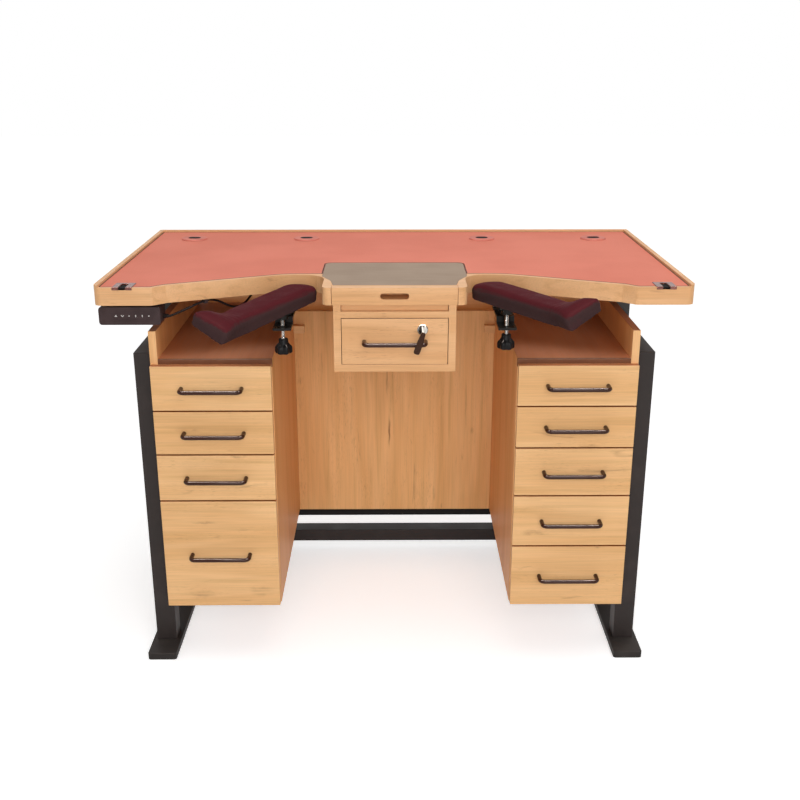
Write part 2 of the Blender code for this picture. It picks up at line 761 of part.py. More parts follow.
def column_bore(side, spare, low, high):
    wide, deep = COLUMN_INNER[0] / 2 + spare, COLUMN_INNER[1] / 2 + spare
    x = side * POST_MIDDLE
    return box((x - wide, COLUMN_Y - deep, low), (x + wide, COLUMN_Y + deep, high))


def lift_outer(name, side):
    low, high = sorted((side * (POST_OUTER - POST), side * POST_OUTER))
    half = COLUMN_OUTER_DEPTH / 2
    base = FOOT_THICK + SEAT_GAP
    beam = POST_TOP - POST - SEAT_GAP
    tube = make(name, box((low, COLUMN_Y - half, base), (high, COLUMN_Y + half, beam)), STEEL)
    return combine(tube, column_bore(side, SLIDE_GAP / 2, base - POST, beam + POST))


def lift_inner(name, side):
    wide, deep, thick = COLUMN_HEAD
    x = side * POST_MIDDLE
    under = TOP_UNDER - SEAT_GAP
    inward = x - side * (wide - COLUMN_INNER[0]) / 2
    head = box((inward - wide / 2, COLUMN_Y - deep / 2, under - thick),
               (inward + wide / 2, COLUMN_Y + deep / 2, under))
    column = make(name, column_bore(side, 0.0, COLUMN_INNER_BOTTOM, under - thick / 2), INNER_STEEL)
    combine(column, head, "UNION")
    return combine(column, column_bore(side, -COLUMN_INNER_WALL, 0.0, under - thick))


def crossbar(name, low):
    half = POST_OUTER - POST - SEAT_GAP
    bar = box((-half, REAR_POST_FRONT, low), (half, REAR_POST_FRONT + POST, low + CROSSBAR_TALL))
    return make(name, bar, STEEL)


# Armrests


def pad_stations():
    """(position along the arm, share of the section's width and thickness, twist) from heel to outer end."""
    half = PAD_WIDTH / 2
    stations = []
    for ring in range(PAD_HEEL_RINGS):
        angle = math.radians(90) * (ring + PAD_HEEL_START) / PAD_HEEL_RINGS
        share = math.sin(angle)
        thick = PAD_HEEL_SHARE + (1 - PAD_HEEL_SHARE) * share
        stations.append((-PAD_HEEL + half * (1 - math.cos(angle)), share, thick, 0.0))
    start = half - PAD_HEEL
    twist_start = PAD_REACH - PAD_TWIST_LENGTH
    for ring in range(1, PAD_STRAIGHT_RINGS + 1):
        stations.append((start + (twist_start - start) * ring / PAD_STRAIGHT_RINGS, 1.0, 1.0, 0.0))
    straight_end = PAD_REACH - PAD_END_LENGTH
    for ring in range(1, PAD_TWIST_RINGS + 1):
        share = ring / PAD_TWIST_RINGS
        along = twist_start + (straight_end - twist_start) * share
        ease = share ** 2 * (3 - 2 * share)
        stations.append((along, 1.0 + PAD_FLARE * ease, 1.0, PAD_TWIST * ease))
    stations.append((PAD_REACH, PAD_END_SHARE + PAD_FLARE, PAD_END_SHARE, PAD_TWIST))
    return stations


def pad_rings(word, side):
    """Points of each ring of a pad; at the outer end its back edge turns up about its front edge."""
    heading = ARM_HEADING[word]
    along_arm = Vector((side * math.cos(heading), -math.sin(heading), 0.0))
    outward = Vector((math.sin(heading) * side, math.cos(heading), 0.0))
    root = Vector((side * ARM_X, ARM_Y, PAD_BOTTOM[word]))
    section = list(PAD_SECTION) + [(0.0, 1.0)] + [(-u, v) for u, v in reversed(PAD_SECTION)]
    half = PAD_WIDTH / 2
    rings = []
    for along, wide, thick, twist in pad_stations():
        ring = []
        for u, v in section:
            reach = u * wide * half + max(wide, 1.0) * half
            height = v * thick * PAD_THICK
            sideways = reach * math.cos(twist) - height * math.sin(twist) - half
            upward = reach * math.sin(twist) + height * math.cos(twist) + along * math.tan(PAD_TILT[word])
            ring.append(root + along_arm * along + outward * sideways + Vector((0.0, 0.0, upward)))
        rings.append(ring)
    return rings


def armrest_pad(word, side):
    shape = bmesh.new()
    rings = [[shape.verts.new(point) for point in ring] for ring in pad_rings(word, side)]
    for near, far in zip(rings, rings[1:]):
        for index in range(len(near)):
            following = (index + 1) % len(near)
            shape.faces.new((near[index], near[following], far[following], far[index]))
    shape.faces.new(rings[0])
    shape.faces.new(rings[-1])
    pivot = (side * ARM_X, ARM_Y, PAD_BOTTOM[word])
    return smooth(make(f"{word}_armrest_pad", shape, LEATHER, pivot=pivot), 60)


def armrest_bracket(name, side):
    """A cranked strip from the underside of the top, down and forward to the screw's foot."""
    sheet = BRACKET_SHEET
    under = TOP_UNDER - SEAT_GAP
    edge = BAY_DEPTH + BRACKET_EDGE_GAP
    step = under - BRACKET_STEP
    web = ARM_Y + BRACKET_WEB_BACK
    front = ARM_Y - BRACKET_FOOT_FRONT
    tail = edge + BRACKET_TAIL
    low = TOP_UNDER - BRACKET_FOOT_DROP
    section = [
        (front, low), (web + sheet, low), (web + sheet, step - sheet), (edge + sheet, step - sheet),
        (edge + sheet, under - sheet), (tail, under - sheet), (tail, under), (edge, under), (edge, step),
        (web, step), (web, low + sheet), (front, low + sheet),
    ]
    half = BRACKET_WIDTH / 2
    x = side * ARM_X
    bracket = make(name, prism(section, x - half, x + half, "X"), STEEL)
    bore = disc_profile(SCREW / 2 + SCREW_FIT, low - sheet, low + 2 * sheet)
    return combine(bracket, turned(bore, (x, ARM_Y, 0.0), sides=16))


def armrest_carrier(word, side):
    """The swivel plate under the pad, with the hub that the screw's tip turns in."""
    plate, thick = CARRIER_PLATE
    hub, tall = CARRIER_HUB
    high = PAD_BOTTOM[word] - PAD_SEAT
    low = high - thick - tall
    bore = SCREW / 2 + SCREW_FIT
    roof = high - SCREW_SEAT
    profile = [(0.0, high), (plate / 2, high), (plate / 2, high - thick), (hub / 2, high - thick),
               (hub / 2, low), (bore, low), (bore, roof), (0.0, roof)]
    pivot = (side * ARM_X, ARM_Y, 0.0)
    return smooth(make(f"{word}_armrest_carrier", turned(profile, pivot), STEEL, pivot=pivot))


def armrest_screw(word, side):
    """The jack screw with its star knob."""
    pivot = (side * ARM_X, ARM_Y, 0.0)
    star, tall = KNOB_STAR
    hub, hub_tall = KNOB_HUB
    top = PAD_BOTTOM[word] - KNOB_DROP
    low = top - hub_tall
    outline = []
    for point in range(KNOB_POINTS):
        angle = 2 * math.pi * point / KNOB_POINTS
        radius = star / 2 - KNOB_LOBE_DEPTH * (1 - math.cos(KNOB_LOBES * angle)) / 2
        outline.append((pivot[0] + radius * math.cos(angle), pivot[1] + radius * math.sin(angle)))
    knob = make(f"{word}_armrest_screw", prism(outline, low - tall, low), KNOB, pivot=pivot)
    tip = PAD_BOTTOM[word] - PAD_SEAT - SCREW_SEAT - SEAT_GAP
    profile = [(0.0, tip), (SCREW / 2, tip), (SCREW / 2, top), (hub / 2, top),
               (hub / 2, low - tall / 2), (0.0, low - tall / 2)]
    return combine(knob, turned(profile, pivot, sides=16), "UNION")


# Electric controls


def hand_controller():
    high = TOP_UNDER - CONTROL_DROP
    low = high - CONTROL_TALL
    back = CONTROL_FRONT + CONTROL_DEPTH
    outline = rounded_box(CONTROL_X, (low, high), CONTROL_CORNER)
    case = make("hand_controller", prism(outline, CONTROL_FRONT, back, "Y"), CONTROL)
    middle = sum(CONTROL_X) / 2 + CONTROL_CORNER
    half = CONTROL_PANEL[0] / 2
    level = (low + high) / 2
    tall = CONTROL_PANEL[1] / 2
    panel = rounded_box((middle - half, middle + half), (level - tall, level + tall), tall / 4)
    combine(case, prism(panel, CONTROL_FRONT - CONTROL_DEPTH, CONTROL_FRONT + CONTROL_PANEL_DEPTH, "Y"))
    lug = box((CONTROL_X[0] + CONTROL_MOUNT, CONTROL_FRONT + CONTROL_MOUNT, level),
              (CONTROL_X[1] - CONTROL_MOUNT, back - CONTROL_CORNER, TOP_UNDER - SEAT_GAP))
    return combine(case, lug, "UNION")


def power_box():
    high = TOP_UNDER - SEAT_GAP
    outline = rounded_box(POWER_BOX_X, (high - POWER_BOX_TALL, high), POWER_BOX_CORNER)
    return make("power_box", prism(outline, *POWER_BOX_Y, "Y"), CONTROL)


def smooth_route(points, step):
    """Points a step apart on one smooth curve through the route."""
    ends = [Vector(points[0]) * 2 - Vector(points[1]), Vector(points[-1]) * 2 - Vector(points[-2])]
    knots = [ends[0], *map(Vector, points), ends[1]]
    route = []
    for before, start, end, after in zip(knots, knots[1:], knots[2:], knots[3:]):
        count = max(1, round((end - start).length / step))
        for index in range(count):
            t = index / count
            route.append(start + ((end - before) * t + (before * 2 - start * 5 + end * 4 - after) * t ** 2
                                  + (start * 3 - before - end * 3 + after) * t ** 3) / 2)
    return route + [knots[-2]]


def cable_points():
    return [(x, y, TOP_UNDER - drop) for x, y, drop in CABLE_ROUTE]


def control_cable():
    route = smooth_route(cable_points(), CABLE * CABLE_POINT_STEP)
    return wire("control_cable", route, CABLE, RUBBER)


def cable_clip():
    """A small saddle under the top that holds the lead where it comes up to the top."""
    long, wide, wall = CABLE_CLIP
    points = cable_points()
    x, y, z = points[CABLE_CLIP_AT]
    reach = CABLE / 2 + SLIDE_GAP
    along = Vector(points[CABLE_CLIP_AT + 1]) - Vector(points[CABLE_CLIP_AT - 1])
    turn = Matrix.Translation((x, y, 0.0)) @ Matrix.Rotation(math.atan2(along.y, along.x), 4, "Z")
    saddle = box((-long / 2, -wide / 2, z - reach - wall), (long / 2, wide / 2, TOP_UNDER - SEAT_GAP))
    channel = box((-long, -reach, z - reach), (long, reach, z + reach))
    for shape in (saddle, channel):
        bmesh.ops.transform(shape, matrix=turn, verts=shape.verts)
    return combine(make("cable_clip", saddle, CONTROL), channel)


# Assembly


def build():
    bench_top()
    work_surface()
    work_plate()
    for number, x in enumerate(GROMMET_X, 1):
        grommet(number, x)
    catch_tray()
    centre_box()
    centre_drawer()
    lock_barrel()
    drawer_key()
    for word, side, heights in (("left", -1, LEFT_FRONTS), ("right", 1, RIGHT_FRONTS)):
        levels = front_levels(heights)
        corner_plate(f"{word}_corner_plate", side)
        cabinet(f"{word}_cabinet", side, levels)
        for number, (level, body) in enumerate(zip(levels, body_levels(levels)), 1):
            cabinet_drawer(f"{word}_drawer_{number}", side, level, body)
        foot(f"{word}_foot", side)
        side_frame(f"{word}_side_frame", side)
        lift_outer(f"{word}_lift_outer", side)
        lift_inner(f"{word}_lift_inner", side)
        armrest_bracket(f"{word}_armrest_bracket", side)
        armrest_carrier(word, side)
        armrest_screw(word, side)
        armrest_pad(word, side)
        corner_block(f"{word}_corner_block", side)
    knee_panel()
    crossbar("lower_crossbar", LOWER_CROSSBAR)
    crossbar("upper_crossbar", UPPER_CROSSBAR)
    hand_controller()
    power_box()
    control_cable()
    cable_clip()


for old in list(bpy.data.objects):
    bpy.data.objects.remove(old)

WOOD = finish("beech_laminate", (0.77, 0.46, 0.21), 0.45)
MAT = finish("red_work_mat", (0.60, 0.19, 0.14), 0.60)
PLATE = finish("grey_work_plate", (0.36, 0.29, 0.23), 0.55)
GROMMET = finish("grommet_plastic", (0.45, 0.16, 0.13), 0.50)
CHROME = finish("chrome_plate", (0.75, 0.74, 0.72), 0.15, 1.0)
STEEL = finish("black_powder_coat", (0.045, 0.040, 0.038), 0.50)
INNER_STEEL = finish("dark_column_tube", (0.07, 0.065, 0.062), 0.40)
HANDLE = finish("dark_handle_wire", (0.035, 0.012, 0.008), 0.30, 0.5)
KEY = finish("key_steel", (0.45, 0.43, 0.41), 0.30, 1.0)
LEATHER = finish("maroon_leather", (0.070, 0.030, 0.033), 0.45)
KNOB = finish("black_knob_plastic", (0.020, 0.020, 0.020), 0.40)
CONTROL = finish("dark_grey_plastic", (0.050, 0.045, 0.046), 0.50)
RUBBER = finish("cable_rubber", (0.020, 0.020, 0.020), 0.50)

bench = bpy.data.objects.new("bench_origin", None)
bpy.context.scene.collection.objects.link(bench)
rings = pad_rings("left", -1) + pad_rings("right", 1)
front_reach = min(point.y for ring in rings for point in ring)
bench.location = (0.0, -(front_reach + TOP_DEPTH) / 2, 0.0)
build()
bpy.context.view_layer.update()
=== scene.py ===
import math
import bmesh
import bpy
from mathutils import Matrix, Vector, noise


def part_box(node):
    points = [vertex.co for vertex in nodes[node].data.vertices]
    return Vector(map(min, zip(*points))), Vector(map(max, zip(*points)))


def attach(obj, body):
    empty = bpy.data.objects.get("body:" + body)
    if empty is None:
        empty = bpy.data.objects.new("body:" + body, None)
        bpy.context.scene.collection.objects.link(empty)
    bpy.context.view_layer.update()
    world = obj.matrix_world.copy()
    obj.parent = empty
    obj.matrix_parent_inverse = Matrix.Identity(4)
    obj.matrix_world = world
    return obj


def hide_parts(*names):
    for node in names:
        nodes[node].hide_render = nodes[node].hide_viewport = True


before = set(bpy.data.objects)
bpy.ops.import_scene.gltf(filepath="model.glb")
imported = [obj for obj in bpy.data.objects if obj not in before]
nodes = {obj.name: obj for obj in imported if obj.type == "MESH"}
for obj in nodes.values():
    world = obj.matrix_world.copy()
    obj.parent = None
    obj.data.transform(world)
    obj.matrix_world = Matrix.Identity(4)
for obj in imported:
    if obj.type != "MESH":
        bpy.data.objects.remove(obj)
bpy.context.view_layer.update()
scene = bpy.context.scene
print("frame loaded:", len(nodes), "nodes")


# colours are written as 0 to 255 and turned linear here
def tint(red, green, blue):
    def linear(value):
        value = value / 255
        return value / 12.92 if value <= 0.04045 else ((value + 0.055) / 1.055) ** 2.4
    return (linear(red), linear(green), linear(blue), 1.0)


# node helpers: put() makes one node, a socket as a value becomes a link
def put(tree, kind, values=None, **settings):
    node = tree.nodes.new("ShaderNode" + kind)
    for key, value in settings.items():
        setattr(node, key, value)
    for key, value in (values or {}).items():
        if isinstance(value, bpy.types.NodeSocket):
            tree.links.new(value, node.inputs[key])
        else:
            node.inputs[key].default_value = value
    return node


def newFinish(name):
    finish = bpy.data.materials.new(name)
    finish.use_nodes = True
    tree = finish.node_tree
    return finish, tree, tree.nodes["Principled BSDF"]


def link(tree, socket, node, key):
    tree.links.new(socket, node.inputs[key])


def mixColour(tree, factor, first, second, kind="MIX"):
    return put(tree, "Mix", {0: factor, 6: first, 7: second}, data_type="RGBA", blend_type=kind).outputs[2]


def ramp(tree, value, low, high, start=0.0, end=1.0):
    values = {"Value": value, "From Min": low, "From Max": high, "To Min": start, "To Max": end}
    return put(tree, "MapRange", values, interpolation_type="SMOOTHSTEP").outputs["Result"]


def calc(tree, kind, first, second=0.0):
    return put(tree, "Math", {0: first, 1: second}, operation=kind).outputs[0]


def noiseAt(tree, place, scale, detail=2.0, distortion=0.0):
    values = {"Vector": place, "Scale": scale, "Detail": detail, "Distortion": distortion}
    return put(tree, "TexNoise", values).outputs["Fac"]


def vector(tree, kind, first, second):
    return put(tree, "VectorMath", {0: first, 1: second}, operation=kind).outputs[0]


def objectPlace(tree):
    return put(tree, "TexCoord").outputs["Object"]


# 1 between two corners, where a None leaves that side open
def between(tree, place, low, high):
    axes = put(tree, "SeparateXYZ", {0: place}).outputs
    mask = None
    for kind, corner in (("GREATER_THAN", low), ("LESS_THAN", high)):
        for axis, limit in zip(axes, corner):
            if limit is not None:
                side = calc(tree, kind, axis, limit)
                mask = side if mask is None else calc(tree, "MULTIPLY", mask, side)
    return mask


def bumpFrom(tree, shader, height, distance, strength):
    bump = put(tree, "Bump", {"Height": height, "Distance": distance, "Strength": strength})
    link(tree, bump.outputs["Normal"], shader, "Normal")


# wood laminate: long soft streaks, fine fibre lines, pores and a few brown smudges
beech = {
    "pale": tint(233, 186, 132),
    "honey": tint(221, 170, 114),
    "olive": tint(203, 155, 98),
    "brown": tint(128, 82, 44),
    "roughness": 0.42,
    "roughnessSpread": 0.14,
    "specular": 0.25,
    "relief": 0.00012,
    "markWander": {"X": 0.02, "Z": 0.006},
}


def grainPlace(tree, place, along, lengthwise, crosswise):
    scale = [crosswise] * 3
    scale["XYZ".index(along)] = lengthwise
    return vector(tree, "MULTIPLY", place, scale)


# figure fades the grain; the side and level tones darken the faces across X and Z as painted shade
# patches paint shade or light into a box: levelOnly keeps to faces across Z, edgesOnly leaves out faces
# across Y
def laminate(name, along, flatAlong, shift=(0.0, 0.0, 0.0), tone=(1.0, 1.0, 1.0), marks=(), figure=1.0,
             sideShadeTone=None, levelShadeTone=None, patches=()):
    finish, tree, shader = newFinish(name)
    place = objectPlace(tree)
    facing = put(tree, "SeparateXYZ", {0: put(tree, "TexCoord").outputs["Normal"]}).outputs
    moved = vector(tree, "ADD", place, shift)

    def faces(axis, low, high, start=0.0, end=1.0):
        return ramp(tree, calc(tree, "ABSOLUTE", facing[axis]), low, high, start, end)

    turns = [(faces("Z", 0.60, 0.80), flatAlong)]
    if along == "X":
        turns.append((faces("X", 0.60, 0.80), "Y"))

    def layer(lengthwise, crosswise, detail=2.0, distortion=0.0):
        spot = grainPlace(tree, moved, along, lengthwise, crosswise)
        for mask, axis in turns:
            turned = grainPlace(tree, moved, axis, lengthwise, crosswise)
            spot = put(tree, "Mix", {0: mask, 4: spot, 5: turned}, data_type="VECTOR").outputs[1]
        return noiseAt(tree, spot, 1.0, detail, distortion)

    broad = ramp(tree, layer(1.6, 15.0, 2.0, 0.8), 0.30, 0.68)
    colour = mixColour(tree, broad, beech["pale"], beech["honey"])
    streak = ramp(tree, layer(2.4, 70.0, 3.0, 0.4), 0.50, 0.78, 0.0, 0.62 * figure)
    colour = mixColour(tree, streak, colour, beech["olive"])
    smudge = ramp(tree, layer(7.0, 46.0, 4.0, 1.2), 0.63, 0.80, 0.0, 0.42 * figure)
    colour = mixColour(tree, smudge, colour, beech["brown"])
    cluster = ramp(tree, layer(4.0, 22.0, 2.0), 0.45, 0.65)
    pores = ramp(tree, layer(60.0, 1300.0, 1.0), 0.62, 0.72)
    pores = calc(tree, "MULTIPLY", pores, cluster)
    colour = mixColour(tree, calc(tree, "MULTIPLY", pores, 0.42 * figure), colour, beech["brown"])
    fibre = layer(10.0, 700.0, 2.0)
    value = ramp(tree, fibre, 0.25, 0.75, 0.93, 1.05)
    colour = put(tree, "VectorMath", {0: colour, "Scale": value}, operation="SCALE").outputs[0]
    if marks:
        ragged = ramp(tree, layer(9.0, 240.0, 3.0), 0.30, 0.70, 0.15, 1.25)
        wander = put(tree, "TexNoise", {"Vector": place, "Scale": 46.0, "Detail": 3.0}).outputs["Color"]
        wander = vector(tree, "SUBTRACT", wander, (0.5, 0.5, 0.5))
        wander = vector(tree, "MULTIPLY", wander, [beech["markWander"][along]] * 3)
        wavy = vector(tree, "ADD", place, wander)
    for mark in marks:
        away = vector(tree, "SUBTRACT", wavy, mark["at"])
        away = vector(tree, "MULTIPLY", away, [1 / size for size in mark["size"]])
        away = put(tree, "VectorMath", {0: away}, operation="LENGTH").outputs["Value"]
        dark = calc(tree, "MULTIPLY", ramp(tree, away, 0.10, 1.0, mark["depth"], 0.0), ragged)
        colour = mixColour(tree, dark, colour, beech["brown"])
    # the tone, with the painted shade of the side and level tones and the painted shade and light of the
    # patches
    toneShadeLight = (*tone, 1.0)
    for axis, other in (("X", sideShadeTone), ("Z", levelShadeTone)):
        if other:
            toneShadeLight = mixColour(tree, faces(axis, 0.55, 0.85), toneShadeLight, (*other, 1.0))
    for patch in patches:
        mask = between(tree, place, patch["low"], patch["high"])
        if patch.get("levelOnly"):
            mask = calc(tree, "MULTIPLY", mask, faces("Z", 0.30, 0.60))
        if patch.get("edgesOnly"):
            mask = calc(tree, "MULTIPLY", mask, faces("Y", 0.30, 0.60, 1.0, 0.0))
        toneShadeLight = mixColour(tree, mask, toneShadeLight, (*patch["tone"], 1.0))
    colour = mixColour(tree, 1.0, colour, toneShadeLight, "MULTIPLY")
    link(tree, colour, shader, "Base Color")
    most = beech["roughness"] + beech["roughnessSpread"]
    link(tree, ramp(tree, fibre, 0.2, 0.8, beech["roughness"], most), shader, "Roughness")
    shader.inputs["Specular IOR Level"].default_value = beech["specular"]
    bumpFrom(tree, shader, calc(tree, "SUBTRACT", fibre, pores), beech["relief"], 0.35)
    return finish


# cushioned red bench mat with a fine pebble and a faint mottle
mat = {
    "red": tint(223, 129, 107),
    "shade": tint(215, 121, 99),
    "fleck": tint(184, 94, 76),
    "seam": tint(74, 38, 24),
    "specular": 0.06,
}


def matFinish():
    finish, tree, shader = newFinish("redMat")
    place = objectPlace(tree)
    cloud = ramp(tree, noiseAt(tree, place, 5.0, 3.0), 0.3, 0.7)
    colour = mixColour(tree, cloud, mat["red"], mat["shade"])
    speck = noiseAt(tree, place, 900.0, 2.0)
    colour = mixColour(tree, ramp(tree, speck, 0.58, 0.75, 0.0, 0.35), colour, mat["fleck"])
    link(tree, colour, shader, "Base Color")
    link(tree, ramp(tree, speck, 0.3, 0.7, 0.50, 0.62), shader, "Roughness")
    shader.inputs["Specular IOR Level"].default_value = mat["specular"]
    bumpFrom(tree, shader, noiseAt(tree, place, 1400.0, 2.0), 0.00010, 0.5)
    return finish


# brushed grey sheet of the work plate
plate = {"light": tint(164, 143, 123), "dark": tint(152, 131, 112), "specular": 0.03}


def plateFinish():
    finish, tree, shader = newFinish("greyPlate")
    place = objectPlace(tree)
    brush = noiseAt(tree, grainPlace(tree, place, "X", 14.0, 1500.0), 1.0, 3.0)
    cloud = noiseAt(tree, place, 9.0, 3.0)
    fade = calc(tree, "ADD", calc(tree, "MULTIPLY", brush, 0.5), calc(tree, "MULTIPLY", cloud, 0.5))
    colour = mixColour(tree, ramp(tree, fade, 0.35, 0.65), plate["light"], plate["dark"])
    link(tree, colour, shader, "Base Color")
    link(tree, ramp(tree, brush, 0.3, 0.7, 0.40, 0.50), shader, "Roughness")
    shader.inputs["Specular IOR Level"].default_value = plate["specular"]
    bumpFrom(tree, shader, brush, 0.00005, 0.4)
    return finish


# powder coat: orange-peel bump with slightly worn, paler patches
def coatFinish(name, dark, worn, roughness=0.48, specular=0.35):
    finish, tree, shader = newFinish(name)
    place = objectPlace(tree)
    cloud = noiseAt(tree, place, 14.0, 4.0)
    colour = mixColour(tree, ramp(tree, cloud, 0.45, 0.75), dark, worn)
    link(tree, colour, shader, "Base Color")
    peel = noiseAt(tree, place, 850.0, 2.0)
    link(tree, ramp(tree, cloud, 0.3, 0.7, roughness, roughness + 0.12), shader, "Roughness")
    shader.inputs["Specular IOR Level"].default_value = specular
    bumpFrom(tree, shader, peel, 0.00008, 0.35)
    return finish


# plated or bare metal with fine rubbing marks
def metalFinish(name, light, dark, roughness, along="Z"):
    finish, tree, shader = newFinish(name)
    place = objectPlace(tree)
    rub = noiseAt(tree, grainPlace(tree, place, along, 60.0, 1600.0), 1.0, 3.0)
    cloud = noiseAt(tree, place, 120.0, 3.0)
    colour = mixColour(tree, ramp(tree, cloud, 0.35, 0.70), light, dark)
    link(tree, colour, shader, "Base Color")
    link(tree, ramp(tree, rub, 0.3, 0.75, roughness, roughness + 0.14), shader, "Roughness")
    shader.inputs["Metallic"].default_value = 1.0
    bumpFrom(tree, shader, rub, 0.00003, 0.25)
    return finish


# moulded plastic: fine spark-eroded texture
def plasticFinish(name, base, pale, roughness=0.42, specular=0.4):
    finish, tree, shader = newFinish(name)
    place = objectPlace(tree)
    spark = noiseAt(tree, place, 1600.0, 2.0)
    cloud = noiseAt(tree, place, 35.0, 3.0)
    colour = mixColour(tree, ramp(tree, cloud, 0.35, 0.70), base, pale)
    link(tree, colour, shader, "Base Color")
    link(tree, ramp(tree, spark, 0.3, 0.7, roughness, roughness + 0.12), shader, "Roughness")
    shader.inputs["Specular IOR Level"].default_value = specular
    bumpFrom(tree, shader, spark, 0.00006, 0.4)
    return finish


# upholstery leather: wine where it faces up, greyer on the walls, near black where it faces down; the
# pebble's pits are darkened as painted shade
hide = {
    "wine": tint(84, 29, 35),
    "wall": tint(66, 47, 47),
    "under": tint(28, 24, 24),
    "worn": tint(97, 41, 46),
    "specular": 0.006,
}


def leatherFinish():
    finish, tree, shader = newFinish("wineLeather")
    place = objectPlace(tree)
    upward = put(tree, "SeparateXYZ", {0: put(tree, "TexCoord").outputs["Normal"]}).outputs["Z"]
    colour = mixColour(tree, ramp(tree, upward, 0.38, 0.62), hide["wall"], hide["wine"])
    colour = mixColour(tree, ramp(tree, upward, -0.95, -0.70, 1.0, 0.0), colour, hide["under"])
    cloud = noiseAt(tree, place, 28.0, 4.0)
    colour = mixColour(tree, ramp(tree, cloud, 0.55, 0.80, 0.0, 0.30), colour, hide["worn"])
    pebble = put(tree, "TexVoronoi", {"Vector": place, "Scale": 760.0, "Randomness": 1.0}).outputs["Distance"]
    groove = ramp(tree, pebble, 0.30, 0.75)
    # painted shade in the pebble's pits
    colour = mixColour(tree, calc(tree, "MULTIPLY", groove, 0.22), colour, hide["under"])
    link(tree, colour, shader, "Base Color")
    link(tree, ramp(tree, cloud, 0.3, 0.7, 0.42, 0.56), shader, "Roughness")
    shader.inputs["Specular IOR Level"].default_value = hide["specular"]
    lift = calc(tree, "SUBTRACT", calc(tree, "MULTIPLY", cloud, 0.6), groove)
    bumpFrom(tree, shader, lift, 0.00018, 0.55)
    return finish


# shared shading: weld, small edge radius, smooth across shallow angles
shading = {"weld": 0.00002, "sharpAngle": 38, "bevelAngle": 40, "bevelSegments": 3}


def smoothGroup():
    group = bpy.data.node_groups.new("smoothShallow", "GeometryNodeTree")
    group.interface.new_socket("Geometry", in_out="INPUT", socket_type="NodeSocketGeometry")
    group.interface.new_socket("Geometry", in_out="OUTPUT", socket_type="NodeSocketGeometry")
    start = group.nodes.new("NodeGroupInput")
    end = group.nodes.new("NodeGroupOutput")
    angle = group.nodes.new("GeometryNodeInputMeshEdgeAngle")
    steep = group.nodes.new("FunctionNodeCompare")
    steep.data_type = "FLOAT"
    steep.operation = "GREATER_THAN"
    steep.inputs[1].default_value = math.radians(shading["sharpAngle"])
    faces = group.nodes.new("GeometryNodeSetShadeSmooth")
    edges = group.nodes.new("GeometryNodeSetShadeSmooth")
    edges.domain = "EDGE"
    edges.inputs["Shade Smooth"].default_value = False
    group.links.new(start.outputs[0], faces.inputs["Geometry"])
    group.links.new(faces.outputs[0], edges.inputs["Geometry"])
    group.links.new(angle.outputs["Unsigned Angle"], steep.inputs[0])
    group.links.new(steep.outputs[0], edges.inputs["Selection"])
    group.links.new(edges.outputs[0], end.inputs[0])
    return group


shallow = smoothGroup()


def refine(piece, edge):
    weld = piece.modifiers.new("weld", "WELD")
    weld.merge_threshold = shading["weld"]
    bevel = piece.modifiers.new("edge", "BEVEL")
    bevel.width = edge
    bevel.segments = shading["bevelSegments"]
    bevel.limit_method = "ANGLE"
    bevel.angle_limit = math.radians(shading["bevelAngle"])
    bevel.use_clamp_overlap = True
    smooth = piece.modifiers.new("shade", "NODES")
    smooth.node_group = shallow
    weight = piece.modifiers.new("weight", "WEIGHTED_NORMAL")
    weight.keep_sharp = True


def dress(name, finish, edge):
    piece = nodes[name]
    if piece.material_slots:
        for slot in piece.material_slots:
            slot.material = finish
    else:
        piece.data.materials.append(finish)
    refine(piece, edge)


def finishPiece(bm, name, body, finish, smoothAngle=None):
    bmesh.ops.recalc_face_normals(bm, faces=bm.faces)
    mesh = bpy.data.meshes.new(name)
    bm.to_mesh(mesh)
    bm.free()
    mesh.materials.append(finish)
    piece = bpy.data.objects.new(name, mesh)
    scene.collection.objects.link(piece)
    if smoothAngle is not None:
        mesh.shade_smooth()
        mesh.set_sharp_from_angle(angle=math.radians(smoothAngle))
    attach(piece, body)
    return piece


# bright shank, dark head: the head is the part in front of the split
keyLook = {
    "bright": (0.56, 0.55, 0.53, 1.0),
    "dark": tint(52, 28, 14),
    "split": -0.2508,
    "headMetal": 0.2,
    "polished": 0.16,
    "rubbed": 0.30,
    "specular": 0.15,
}


def keyFinish():
    finish, tree, shader = newFinish("keySteel")
    place = objectPlace(tree)
    depth = put(tree, "SeparateXYZ", {0: place}).outputs["Y"]
    head = calc(tree, "LESS_THAN", depth, keyLook["split"])
    rub = noiseAt(tree, place, 700.0, 3.0)
    link(tree, mixColour(tree, head, keyLook["bright"], keyLook["dark"]), shader, "Base Color")
    metal = calc(tree, "SUBTRACT", 1.0, calc(tree, "MULTIPLY", head, 1 - keyLook["headMetal"]))
    link(tree, metal, shader, "Metallic")
    link(tree, ramp(tree, rub, 0.3, 0.7, keyLook["polished"], keyLook["rubbed"]), shader, "Roughness")
    shader.inputs["Specular IOR Level"].default_value = keyLook["specular"]
    return finish


# fixed looks of the frame
blackCoat = coatFinish("blackCoat", tint(42, 35, 33), tint(54, 46, 44), 0.48, 0.24)
# the upper crossbar's coat: the black coat darkened as painted shade
barShadeCoat = coatFinish("barShadeCoat", tint(15, 12, 9), tint(20, 16, 13), 0.48, 0.14)
